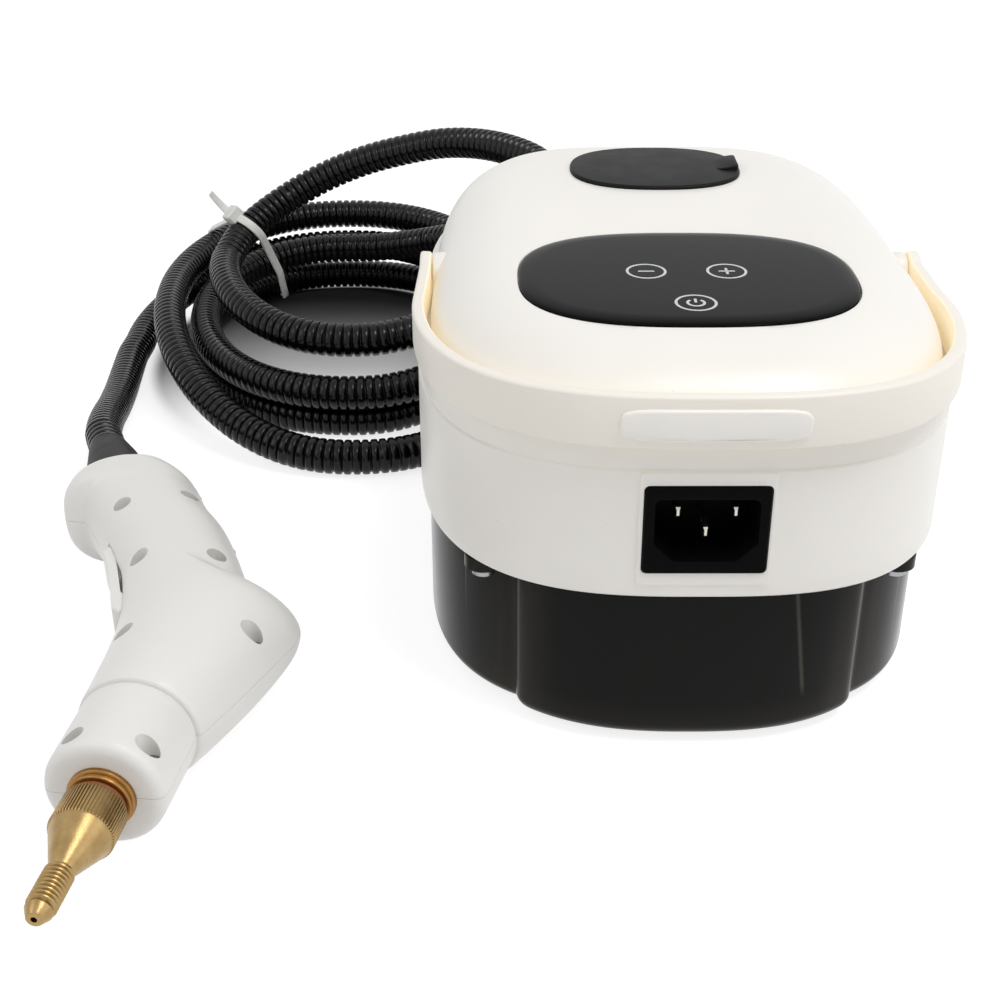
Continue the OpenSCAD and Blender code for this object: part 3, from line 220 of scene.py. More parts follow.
class Shade(Nodes):
    """The nodes of one surface, with the place of each point in millimetres."""

    def __init__(self, name: str) -> None:
        """Makes the material and the nodes that all of them have.

        Args:
            name: Its name.
        """
        self.material = bpy.data.materials.new(name)
        self.material.use_nodes = True
        super().__init__(self.material.node_tree)
        self.tree.nodes.clear()
        self.surface = self.add("ShaderNodeBsdfPrincipled")
        self.feed(self.add("ShaderNodeOutputMaterial").inputs["Surface"], self.surface.outputs[0])
        place = self.add("ShaderNodeTexCoord").outputs["Object"]
        scaled = self.add("ShaderNodeVectorMath", {"operation": "SCALE"}, {0: place, "Scale": 1 / MM})
        self.place = scaled.outputs[0]
        split = self.add("ShaderNodeSeparateXYZ", None, {0: self.place})
        self.x, self.y, self.z = (Value(self, s) for s in split.outputs)

    def noise(self, size: float, detail: float = 2.0, stretch: Color = (1.0, 1.0, 1.0)) -> Value:
        """Adds noise.

        Args:
            size: Size of its features in millimetres.
            detail: Octaves of finer noise.
            stretch: Factors of the place along the axes.

        Returns:
            Values from 0 to 1.
        """
        place = self.add("ShaderNodeVectorMath", {"operation": "MULTIPLY"}, {0: self.place, 1: stretch})
        inputs = {"Vector": place.outputs[0], "Scale": 1.0 / size, "Detail": detail}
        return self.value("ShaderNodeTexNoise", None, inputs)

    def specks(self, size: float, share: float) -> Value:
        """Returns sparse round specks, 1 inside a speck."""
        cells = self.value("ShaderNodeTexVoronoi", None, {"Vector": self.place, "Scale": 1.0 / size})
        return 1.0 - cells.step(share * 0.6, share)

    def mix(self, factor: "Value | float", first: object, second: object) -> bpy.types.NodeSocket:
        """Returns a mix of two colours."""
        node = self.add("ShaderNodeMix", {"data_type": "RGBA"}, {0: factor, 6: first, 7: second})
        return node.outputs[2]

    def bump(self, height: Value, strength: float, depth: float) -> None:
        """Feeds a height in millimetres to the surface normal."""
        inputs = {"Height": height, "Strength": strength, "Distance": depth * MM}
        self.feed(self.surface.inputs["Normal"], self.add("ShaderNodeBump", None, inputs).outputs[0])

    def put(self, **inputs: object) -> None:
        """Sets inputs of the surface, written with underscores for spaces."""
        for key, item in inputs.items():
            self.feed(self.surface.inputs[key.replace("_", " ")], item)


MATERIALS: dict[str, bpy.types.Material] = {}


@dataclass(frozen=True)
class Finish:
    """A moulded surface: slow tint, fine grain, uneven gloss."""

    name: str
    color: str
    tint: str
    tint_mm: float = 45.0
    rough: tuple[float, float] = (0.32, 0.42)
    grain_mm: float = 0.7
    grain: float = 0.12
    metallic: float = 0.0
    spec: float = 0.4

    def material(self) -> bpy.types.Material:
        """Returns the material, made once."""
        if self.name not in MATERIALS:
            shade = Shade(self.name)
            self.paint(shade)
            MATERIALS[self.name] = shade.material
        return MATERIALS[self.name]

    def paint(self, s: Shade) -> None:
        """Adds this finish's nodes.

        Args:
            s: Where they go.
        """
        slow = s.noise(self.tint_mm)
        fine = s.noise(self.grain_mm, 3.0)
        low, high = self.rough
        s.put(Base_Color=self.base(s, s.mix(slow, srgb(self.color), srgb(self.tint))))
        s.put(Roughness=low + (high - low) * s.noise(self.tint_mm / 6), Metallic=self.metallic)
        s.put(Specular_IOR_Level=self.spec)
        s.bump(self.relief(s, fine), self.grain, 0.05)

    def base(self, s: Shade, color: bpy.types.NodeSocket) -> bpy.types.NodeSocket:
        """Returns the colour, changed by what is special to this finish."""
        return color

    def relief(self, s: Shade, fine: Value) -> Value:
        """Returns the height, changed by what is special to this finish."""
        return fine


@dataclass(frozen=True)
class Speckled(Finish):
    """A finish with sparse small specks of dust or pits."""

    speck: str = "D8CDBB"
    speck_mm: float = 7.0
    share: float = 0.05

    def base(self, s: Shade, color: bpy.types.NodeSocket) -> bpy.types.NodeSocket:
        """Adds the specks."""
        return s.mix(s.specks(self.speck_mm, self.share), color, srgb(self.speck))


@dataclass(frozen=True)
class Smoked(Finish):
    """Thick smoky plastic: dark block, with painted light shining through in lighter brown where the wall is
    seen edge on.
    """

    # edge is the lighter brown of the painted light that shines through the side walls.
    edge: str = "4A453D"
    inner: str = "8C877C"
    shares: tuple = (0.2, 0.3, 0.2, 0.2)
    through_light_x: tuple = (34.0, 47.0)
    front_y: tuple = (-86.0, -70.0)
    water_z: tuple = (3.0, 15.0)
    wall_x: float = 29.0
    wall_lean: float = 0.14
    wall_z: tuple = (12.0, 22.0)

    def base(self, s: Shade, color: bpy.types.NodeSocket) -> bpy.types.NodeSocket:
        """Adds painted light shining through the sides, the water band and the line of the inner wall.

        Args:
            s: Where the nodes go.
            color: The plain colour.

        Returns:
            The changed colour.
        """
        # Painted light: the edge-on sides shine through in lighter brown, with streaks.
        side = abs(s.x).step(*self.through_light_x) * (1.0 - s.y.step(*self.front_y))
        through_light_streak = s.noise(9.0, 3.0, (1.0, 1.0, 0.12)).step(0.35, 0.75)
        low = 1.0 - s.z.step(*self.water_z)
        plain, streaky, water, line = self.shares
        glow = (side * plain + side * through_light_streak * streaky + low * water).math("MINIMUM", 1.0)
        lit = s.mix(glow, color, srgb(self.edge))
        bottom, middle = self.wall_z
        wall = (s.x - self.wall_x + (s.z - middle) * self.wall_lean).bell(0.0, 0.9) * s.z.step(bottom, 18.0)
        return s.mix(wall * line * (1.0 - s.y.step(-80.0, -70.0)), lit, srgb(self.inner))


@dataclass(frozen=True)
class Translucent(Finish):
    """Thin pale plastic with a little warm light passing through."""

    glow: Color = (0.26, 0.2, 0.11)

    def paint(self, s: Shade) -> None:
        """Adds the light."""
        super().paint(s)
        # Painted glow: the emission stands in for warm light passing through the plastic.
        s.put(Emission_Color=self.glow, Emission_Strength=1.0)


@dataclass(frozen=True)
class Turned(Finish):
    """Turned metal: fine rings along one axis and small nicks."""

    ring_mm: float = 0.22

    def relief(self, s: Shade, fine: Value) -> Value:
        """Adds the rings."""
        return (s.y * (math.tau / self.ring_mm)).sin() * 0.35 + fine


class Paint(Enum):
    """The finishes of the object; a slot's finish has the slot's name."""

    HOUSING = Speckled("housing", "F4F1EC", "EFECE6", rough=(0.3, 0.4), grain=0.05, share=0.03)
    COVER = Speckled("cover", "F6F3EE", "F1EEE8", rough=(0.26, 0.36), grain=0.05, share=0.02)
    HANDLE = Speckled("handle", "F6F1E9", "F2ECE2", rough=(0.34, 0.44), grain=0.08, share=0.02)
    GUN = Speckled("gun", "EFEDEA", "E9E7E3", rough=(0.34, 0.46), grain=0.08, speck="CFC9BE", share=0.02)
    TANK = Smoked("smoked_tank", "0E0E0D", "141413", rough=(0.12, 0.2), grain=0.02, spec=0.09)
    PANEL = Finish("panel", "060607", "09090A", rough=(0.06, 0.1), grain=0.01, spec=0.055)
    ICON = Finish("icon", "D0D2D4", "C6C8CB", rough=(0.3, 0.45), grain=0.05, grain_mm=0.3)
    FILL_COVER = Finish("fill_cover", "151516", "1C1C1D", rough=(0.36, 0.5), grain=0.15, spec=0.08)
    BLACK_PLASTIC = Finish("black_plastic", "070707", "0A0A0A", rough=(0.3, 0.42), grain=0.1, spec=0.03)
    BLACK_RUBBER = Finish("black_rubber", "0E0E0E", "141414", rough=(0.45, 0.6), grain=0.2, spec=0.2)
    HOSE = Finish("hose", "050505", "090909", rough=(0.17, 0.25), grain=0.06, grain_mm=0.4, spec=0.24)
    TIE = Finish("tie", "E6E7E3", "DADCD7", rough=(0.3, 0.42), grain=0.1)
    TUBE = Finish("silicone_tube", "DCDAD2", "CFCDC4", rough=(0.4, 0.5), grain=0.05)
    STEEL = Finish("steel", "A9ABAE", "96989C", rough=(0.25, 0.4), metallic=1.0, grain=0.1)
    CONTACT = Finish("contact", "D2CEC2", "BDB9AE", rough=(0.18, 0.3), metallic=1.0, grain=0.1)
    BRASS = Turned("brass", "B49A6C", "8F7448", rough=(0.22, 0.4), metallic=1.0, grain=0.3, tint_mm=3.0)
    COPPER = Turned("aged_brass", "A87E4A", "8A6436", rough=(0.3, 0.45), metallic=1.0, grain=0.3, tint_mm=3.0)
    SEAL = Finish("seal", "8E5526", "74431C", rough=(0.4, 0.5), grain=0.1, tint_mm=8.0)
    CASTINGS = Finish("casting", "A5A7A9", "919396", rough=(0.4, 0.6), metallic=1.0, grain=0.5)
    PUMP = Finish("pump_body", "6A6A62", "5C5C55", rough=(0.4, 0.5), grain=0.2)
    BOARDS = Speckled("board", "14472A", "0F3B22", rough=(0.3, 0.4), speck="B8A04E", speck_mm=3.0, share=0.16)
    SENSORS = Finish("sensor", "3A2C22", "2E231B", rough=(0.4, 0.5), grain=0.2)
    # CREAM is a yellower copy of the handle's white, with a painted glow, for its inward faces.
    CREAM = Translucent("cream", "F4ECDA", "EDE3CC", rough=(0.4, 0.5), grain=0.08)
    INNER = Finish("inner_plastic", "D8D7D2", "CDCCC6", rough=(0.4, 0.5), grain=0.15)

    def material(self) -> bpy.types.Material:
        """Returns the finish's material."""
        return self.value.material()


def rounded(points: Sequence, radius: float | Sequence[float], closed: bool = False, steps: int = 5) -> Array:
    """Rounds the corners of a flat line.

    Args:
        points: The corners.
        radius: One radius, or one for each corner.
        closed: Whether the line returns to its start.
        steps: Points on each corner, less one.

    Returns:
        The rounded line, one row per point.
    """
    p = np.asarray(points, float)
    count = len(p)
    radii = np.broadcast_to(np.asarray(radius, float), (count,))
    out = []
    for i, corner in enumerate(p):
        if radii[i] <= 0 or (not closed and i in (0, count - 1)):
            out.append(corner)
            continue
        u, v = p[i - 1] - corner, p[(i + 1) % count] - corner
        lu, lv = np.linalg.norm(u), np.linalg.norm(v)
        u, v = u / lu, v / lv
        half = math.acos(float(np.clip(u @ v, -1, 1))) / 2
        reach = min(radii[i] / math.tan(half), 0.49 * lu, 0.49 * lv)
        centre = corner + (u + v) / np.linalg.norm(u + v) * reach / math.cos(half)
        a, b = corner + u * reach - centre, corner + v * reach - centre
        turn = math.pi - 2 * half
        for k in range(steps + 1):
            t = k / steps
            out.append(centre + (a * math.sin((1 - t) * turn) + b * math.sin(t * turn)) / math.sin(turn))
    return np.array(out)


def plate(low: Sequence, high: Sequence, radius: float | Sequence[float], steps: int = 5) -> Array:
    """Returns a flat rectangle with rounded corners."""
    corners = [(low[0], low[1]), (high[0], low[1]), (high[0], high[1]), (low[0], high[1])]
    return rounded(corners, radius, True, steps)


def stand(place: Sequence, degrees: float = 0.0, axis: str = "X") -> Matrix:
    """Returns the frame at a place, turned about one axis."""
    return Matrix.Translation(place) @ Matrix.Rotation(math.radians(degrees), 4, axis)


def drum(radius: float, low: float, high: float) -> list[tuple[float, float]]:
    """Returns the profile of a cylinder between two heights."""
    return [(0, low), (radius, low), (radius, high), (0, high)]


def smooth(values: Array, low: float, high: float) -> Array:
    """Returns a smooth step from 0 at low to 1 at high."""
    share = np.clip((values - low) / (high - low), 0, 1)
    return share * share * (3 - 2 * share)


def lengths(line: Array) -> Array:
    """Returns the way along a line to each of its points."""
    return np.r_[0, np.cumsum(np.linalg.norm(np.diff(line, axis=0), axis=1))]


def along(line: Array, spots: Array) -> Array:
    """Returns the points of a line at these ways along it."""
    way = lengths(line)
    return np.column_stack([np.interp(spots, way, line[:, k]) for k in range(line.shape[1])])


def bend(points: Array, i: int, steps: int) -> Array:
    """Draws a smooth stretch between two points of a line.

    Args:
        points: Points of a line.
        i: Number of the first of the four points that shape the stretch.
        steps: Points on the stretch.

    Returns:
        The stretch without its last point.
    """
    a, b, c, d = points[i : i + 4]
    t = np.arange(steps)[:, None] / steps
    curve = 2 * b + (c - a) * t + (2 * a - 5 * b + 4 * c - d) * t**2
    return 0.5 * (curve + (3 * b - a - 3 * c + d) * t**3)


@dataclass(frozen=True)
class Outline:
    """A closed superellipse with its own reach and squareness at each end."""

    half_w: float
    front: float
    rear: float
    front_power: float
    rear_power: float
    centre_y: float = 0.0

    def at(self, angle: Array, inset: float = 0.0) -> Array:
        """Works out points of the outline.

        Args:
            angle: Angles along the outline.
            inset: How far the points move inwards.

        Returns:
            One point per angle.
        """
        c, s = np.cos(angle), np.sin(angle)
        power = 2 / np.where(s < 0, self.front_power, self.rear_power)
        reach = np.where(s < 0, self.front, self.rear) - inset
        x = (self.half_w - inset) * np.sign(c) * np.abs(c) ** power
        y = self.centre_y + reach * np.sign(s) * np.abs(s) ** power
        return np.stack([x, y], axis=-1)

    def even(self, count: int, low: float = 0.0, high: float = math.tau) -> Array:
        """Spaces angles for even points.

        Args:
            count: How many angles.
            low: The first one.
            high: The last one; a whole turn leaves it out.

        Returns:
            Angles with steps of equal length between them.
        """
        t = np.linspace(low, high, 8001)
        way = lengths(self.at(t))
        return np.interp(np.linspace(0, way[-1], count, endpoint=high - low < math.tau - 1e-6), way, t)


def oval(half_w: float, half_l: float, power: float) -> Outline:
    """Returns an outline that is the same at both ends."""
    return Outline(half_w, half_l, half_l, power, power)


def lift(flat: Array, z: float | Array) -> Array:
    """Adds a height to flat points."""
    return np.column_stack([flat, np.broadcast_to(z, (len(flat),))])


class Form:
    """A mesh under construction, in millimetres."""

    def __init__(self) -> None:
        """Starts empty."""
        self.points: list[Array] = []
        self.faces: list[list[int]] = []
        self.paints: list[int] = []
        self.count = 0

    def add(self, points: Array, faces: list[list[int]], place: Matrix | None = None, paint: int = 0) -> None:
        """Adds points and faces.

        Args:
            points: The points.
            faces: Numbers of the points of each face.
            place: Where they go.
            paint: Number of their material.
        """
        points = np.asarray(points, float)
        if place is not None:
            m = np.array(place)
            points = points @ m[:3, :3].T + m[:3, 3]
        self.points.append(points)
        self.faces += [[i + self.count for i in f] for f in faces]
        self.paints += [paint] * len(faces)
        self.count += len(points)

    def loft(
        self,
        rings: Sequence[Array],
        place: Matrix | None = None,
        paint: int = 0,
        loop: bool = False,
    ) -> None:
        """Joins rings of equal length into a tube.

        Args:
            rings: The rings in order.
            place: Where the tube goes.
            paint: Number of its material.
            loop: Whether the last ring joins the first; else flat faces close the ends.
        """
        m, n = len(rings), len(rings[0])
        rows = range(m if loop else m - 1)
        faces = [
            [k * n + i, k * n + (i + 1) % n, (k + 1) % m * n + (i + 1) % n, (k + 1) % m * n + i]
            for k in rows
            for i in range(n)
        ]
        if not loop:
            faces += [list(range(n))[::-1], [(m - 1) * n + i for i in range(n)]]
        self.add(np.concatenate(rings), faces, place, paint)

    def turn(self, profile: Sequence, sides: int, place: Matrix | None = None, loop: bool = False) -> None:
        """Spins a line about Z.

        Args:
            profile: Its points as radius and height.
            sides: How many flat sides the turn has.
            place: Where it goes.
            loop: Whether the line is closed.
        """
        a = np.arange(sides) * math.tau / sides
        rings = [np.column_stack([r * np.cos(a), r * np.sin(a), np.full(sides, z)]) for r, z in profile]
        self.loft(rings, place, loop=loop)

    def build(self, name: str, *paints: Paint, sharp: float = EDGE) -> bpy.types.Object:
        """Makes the object.

        Args:
            name: Its name.
            paints: Its finishes by number.
            sharp: Edges steeper than this angle in degrees stay sharp.

        Returns:
            The object, smooth, closed and with outward normals.
        """
        mesh = bpy.data.meshes.new(name)
        mesh.from_pydata(np.concatenate(self.points) * MM, [], self.faces)
        mesh.polygons.foreach_set("material_index", self.paints)
        for paint in paints:
            mesh.materials.append(paint.material())
        clean(mesh, sharp)
        item = bpy.data.objects.new(name, mesh)
        bpy.context.scene.collection.objects.link(item)
        return item


def clean(mesh: bpy.types.Mesh, sharp: float) -> None:
    """Merges doubles, turns the normals outwards and shades the mesh smooth.

    Args:
        mesh: The mesh.
        sharp: Edges steeper than this angle in degrees stay sharp.
    """
    bm = bmesh.new()
    bm.from_mesh(mesh)
    bmesh.ops.remove_doubles(bm, verts=bm.verts, dist=2e-6)
    bmesh.ops.recalc_face_normals(bm, faces=bm.faces)
    bm.to_mesh(mesh)
    bm.free()
    mesh.polygons.foreach_set("use_smooth", [True] * len(mesh.polygons))
    mesh.set_sharp_from_angle(angle=math.radians(sharp))


def carve(item: bpy.types.Object, tool: Form, join: Join = Join.CUT, sharp: float = EDGE) -> None:
    """Cuts a form out of an object, or joins it on.

    Args:
        item: The object.
        tool: What is cut or joined.
        join: Whether it is cut or joined.
        sharp: Edges steeper than this angle in degrees stay sharp.
    """
    other = tool.build("tool")
    for material in item.data.materials:
        other.data.materials.append(material)
    modifier = item.modifiers.new("carve", "BOOLEAN")
    modifier.operation = join.value
    modifier.object = other
    modifier.solver = "EXACT"
    graph = bpy.context.evaluated_depsgraph_get()
    mesh = bpy.data.meshes.new_from_object(item.evaluated_get(graph))
    item.modifiers.clear()
    item.data = mesh
    bpy.data.objects.remove(other)
    clean(mesh, sharp)


def show(item: bpy.types.Object, body: Body, slot: Slot, *nodes: str) -> bpy.types.Object:
    """Puts a finished object on its body in place of CAD nodes.

    Args:
        item: The object.
        body: Its body.
        slot: Its material slot; not used.
        nodes: The CAD nodes that it replaces.

    Returns:
        The object.
    """
    if nodes:
        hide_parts(*nodes)
    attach(item, body.value)
    return item


def block(low: Sequence[float], high: Sequence[float], radius: float = 0.0) -> list[Array]:
    """Returns the two rings of a box with rounded upright edges."""
    flat = plate(low, high, radius)
    return [lift(flat, low[2]), lift(flat, high[2])]


@dataclass(frozen=True)
class Base:
    """Sizes that several pieces of the base share."""

    centre_y: float = -8.0
    house_z: float = 49.0
    step_z: float = 84.0
    cover_z: float = 91.5
    shoulder_z: float = 93.9
    rise: float = 18.6
    slope: float = 0.04
    house: Outline = Outline(73.6, 95.4, 112.0, 2.9, 4.0, centre_y)
    cover: Outline = Outline(69.8, 92.6, 109.2, 3.0, 4.0, centre_y)

    @classmethod
    def top(cls, y: float) -> Matrix:
        """Returns the frame that lies on the sloped top at that Y."""
        z = cls.shoulder_z + cls.rise + cls.slope * y
        return Matrix.Translation((0, y, z)) @ Matrix.Rotation(math.atan(cls.slope), 4, "X")


@dataclass(frozen=True)
class Studio:
    """Camera, lamps, floor and background."""

    focal_px: float = 1430.8
    frame_px: float = 1000.0
    sensor: float = 36.0
    pitch: float = 0.4829
    yaw: float = 0.0037
    roll: float = -0.0026
    place: Color = (-48.816, -407.251, 235.958)
    world: float = 0.46
    floor_glow: float = 0.8
    lamps: tuple = (
        ("key", (0.3, -0.3, 1.0), 0.4, 4.6),
        ("left_fill", (-0.9, -0.5, 0.8), 0.6, 1.8),
        ("right_fill", (1.2, -0.3, 0.6), 0.9, 2.4),
    )
    aim: Color = (-0.05, 0.0, 0.05)
    floor_half: float = 4000.0
    # The last floor colour is the dark of the painted shade inside the hose coil.
    floor_colors: tuple = ("F4F4F4", "F6F6F6", "B8B8B8", "3C3C3C")
    # Outline and fades of the painted shade patch inside the hose coil.
    coil_right: float = 62.0
    coil_left: float = 88.0
    coil_back: float = 97.0
    coil_front: float = 108.0
    coil_edge: tuple = (0.86, 1.04)
    coil_fade: tuple = (90.0, 170.0)
    painted_shade_fade: tuple = (120.0, 250.0)

    def build(self) -> None:
        """Makes everything round the object."""
        self.camera()
        self.background()
        self.floor()
        for lamp in self.lamps:
            self.lamp(*lamp)
        bpy.context.scene.view_settings.view_transform = "Standard"

    def camera(self) -> None:
        """Makes the camera that was solved from the photo."""
        th, ps, ro = self.pitch, self.yaw, self.roll
        ahead = Vector((-math.sin(ps) * math.cos(th), math.cos(ps) * math.cos(th), -math.sin(th)))
        right = Vector((math.cos(ps), math.sin(ps), 0))
        up = right.cross(ahead)
        x = right * math.cos(ro) + up * math.sin(ro)
        y = up * math.cos(ro) - right * math.sin(ro)
        matrix = Matrix((x, y, -ahead)).transposed().to_4x4()
        matrix.translation = Vector(self.place) * MM
        data = bpy.data.cameras.new("camera")
        data.sensor_width = self.sensor
        data.lens = self.focal_px * self.sensor / self.frame_px
        data.dof.use_dof = False
        item = bpy.data.objects.new("camera", data)
        bpy.context.scene.collection.objects.link(item)
        item.matrix_world = matrix
        bpy.context.scene.camera = item

    def seen(self, nodes: Nodes) -> Value:
        """Adds a mask of what the camera sees.

        Args:
            nodes: The tree.

        Returns:
            1 on rays that show the background, else 0.
        """
        path = nodes.add("ShaderNodeLightPath")
        kinds = ("Is Camera Ray", "Is Glossy Ray", "Is Transmission Ray")
        camera, glossy, through = (Value(nodes, path.outputs[n]) for n in kinds)
        return (camera + glossy + through).math("MINIMUM", 1.0)

    def background(self) -> None:
        """Makes a plain light that looks white to the camera."""
        world = bpy.data.worlds.new("studio")
        world.use_nodes = True
        bpy.context.scene.world = world
        nodes = Nodes(world.node_tree)
        nodes.tree.nodes.clear()
        seen = self.seen(nodes)
        strength = self.world + seen * (1.0 - self.world)
        light = nodes.add("ShaderNodeBackground", None, {"Color": (1.0, 1.0, 1.0), "Strength": strength})
        nodes.feed(nodes.add("ShaderNodeOutputWorld").inputs["Surface"], light.outputs[0])

    def floor(self) -> None:
        """Makes the pale floor, which keeps the object's shadow, with painted shade inside the hose coil."""
        form = Form()
        far = self.floor_half
        form.add([(-far, -far, 0), (far, -far, 0), (far, far, 0), (-far, far, 0)], [[0, 1, 2, 3]])
        item = form.build("floor", Paint.INNER)
        shade = Shade("floor")
        seen = self.seen(shade)
        # Painted shade between the strands: a patch in the coil's outline loses the floor's glow and grows
        # darker towards the back.
        middle_x, middle_y = Hose.centre
        deep = shade.y - middle_y
        wide = shade.x - middle_x + deep * Hose.lean
        reach_x = self.coil_right + (wide < 0.0) * (self.coil_left - self.coil_right)
        reach_y = self.coil_back + (deep < 0.0) * (self.coil_front - self.coil_back)
        u, v = abs(wide / reach_x) ** Hose.power, abs(deep / reach_y) ** Hose.power
        inside = (1.0 - (u + v).step(*self.coil_edge)) * shade.y.step(*self.coil_fade)
        painted_shade = inside * shade.y.step(*self.painted_shade_fade)
        # dark colours the painted shade at the back of the coil's patch.
        white, other, grey, dark = map(srgb, self.floor_colors)
        paper = shade.mix(shade.noise(400.0), white, other)
        plain = shade.mix(seen * (1.0 - inside), paper, grey)
        shade.put(Base_Color=shade.mix(seen * painted_shade, plain, dark), Roughness=0.9, Specular_IOR_Level=0.0)
        glow = seen * (1.0 - inside) * self.floor_glow
        shade.put(Emission_Color=shade.mix(glow, (0.0, 0.0, 0.0), (1.0, 1.0, 1.0)), Emission_Strength=1.0)
        item.data.materials[0] = shade.material

    def lamp(self, name: str, place: Color, size: float, power: float) -> None:
        """Makes a square lamp that faces the middle of the object.

        Args:
            name: Its name.
            place: Where it stands, in metres.
            size: Its side in metres.
            power: Its power in watts.
        """
        data = bpy.data.lights.new(name, "AREA")
        data.size = size
        data.energy = power
        item = bpy.data.objects.new(name, data)
        bpy.context.scene.collection.objects.link(item)
        item.location = place
        aim = Vector(self.aim) - Vector(place)
        item.rotation_euler = aim.to_track_quat("-Z", "Y").to_euler()


class Growth(Nodes):
    """A geometry tree with named inputs."""

    def __init__(self, name: str, **kinds: str) -> None:
        """Makes the tree and its sockets.

        Args:
            name: Its name.
            kinds: The kind of each further input by name.
        """
        super().__init__(bpy.data.node_groups.new(name, "GeometryNodeTree"))
        for key, kind in {"Geometry": "Geometry", **kinds, "Material": "Material"}.items():
            self.tree.interface.new_socket(key, in_out="INPUT", socket_type=f"NodeSocket{kind}")
        self.tree.interface.new_socket("Geometry", in_out="OUTPUT", socket_type="NodeSocketGeometry")
        self.given = self.add("NodeGroupInput").outputs

    def close(self, shape: bpy.types.Node) -> bpy.types.NodeTree:
        """Realises and paints what a node makes.

        Args:
            shape: The node.

        Returns:
            The finished tree.
        """
        real = self.add("GeometryNodeRealizeInstances", None, {0: shape.outputs[0]})
        inputs = {0: real.outputs[0], "Material": self.given["Material"]}
        dressed = self.add("GeometryNodeSetMaterial", None, inputs)
        self.feed(self.add("NodeGroupOutput").inputs[0], dressed.outputs[0])
        return self.tree


@dataclass(frozen=True)
class Repeat:
    """Geometry Nodes that copy a small shape in even steps."""

    count: int
    angle: float = 0.0
    shift: Color = (0.0, 0.0, 0.0)

    def tree(self) -> bpy.types.NodeTree:
        """Builds the nodes that copy.

        Returns:
            Their tree.
        """
        n = Growth("repeat", Count="Int", Angle="Float", Shift="Vector")
        index = n.value("GeometryNodeInputIndex")
        spot = n.add("ShaderNodeVectorMath", {"operation": "SCALE"}, {0: n.given["Shift"], "Scale": index})
        points = n.add("GeometryNodePoints", None, {"Count": n.given["Count"], "Position": spot.outputs[0]})
        turn = n.add("ShaderNodeCombineXYZ", None, {"Z": Value(n, n.given["Angle"]) * index})
        inputs = {"Points": points.outputs[0], "Instance": n.given["Geometry"], "Rotation": turn.outputs[0]}
        return n.close(n.add("GeometryNodeInstanceOnPoints", None, inputs))

    def apply(self, item: bpy.types.Object, paint: Paint) -> Form:
        """Copies an object's mesh.

        Args:
            item: The object with one copy; it is removed.
            paint: The finish of the copies.

        Returns:
            All copies as a form.
        """
        values = {"Count": self.count, "Angle": self.angle, "Shift": Vector(self.shift) * MM}
        mesh = run_nodes(item, self.tree(), dict(values, Material=paint.material()))
        form = Form()
        points = np.empty(len(mesh.vertices) * 3)
        mesh.vertices.foreach_get("co", points)
        form.add(points.reshape(-1, 3) / MM, [list(f.vertices) for f in mesh.polygons])
        return form


def run_nodes(item: bpy.types.Object, tree: bpy.types.NodeTree, values: dict[str, object]) -> bpy.types.Mesh:
    """Evaluates a node tree on an object, which is removed.

    Args:
        item: The object.
        tree: The tree.
        values: Its inputs by name.

    Returns:
        The resulting mesh.
    """
    modifier = item.modifiers.new("nodes", "NODES")
    modifier.node_group = tree
    for socket in tree.interface.items_tree:
        if socket.in_out == "INPUT" and socket.name in values:
            modifier[socket.identifier] = values[socket.name]
    item.update_tag()
    graph = bpy.context.evaluated_depsgraph_get()
    mesh = bpy.data.meshes.new_from_object(item.evaluated_get(graph))
    bpy.data.objects.remove(item)
    return mesh


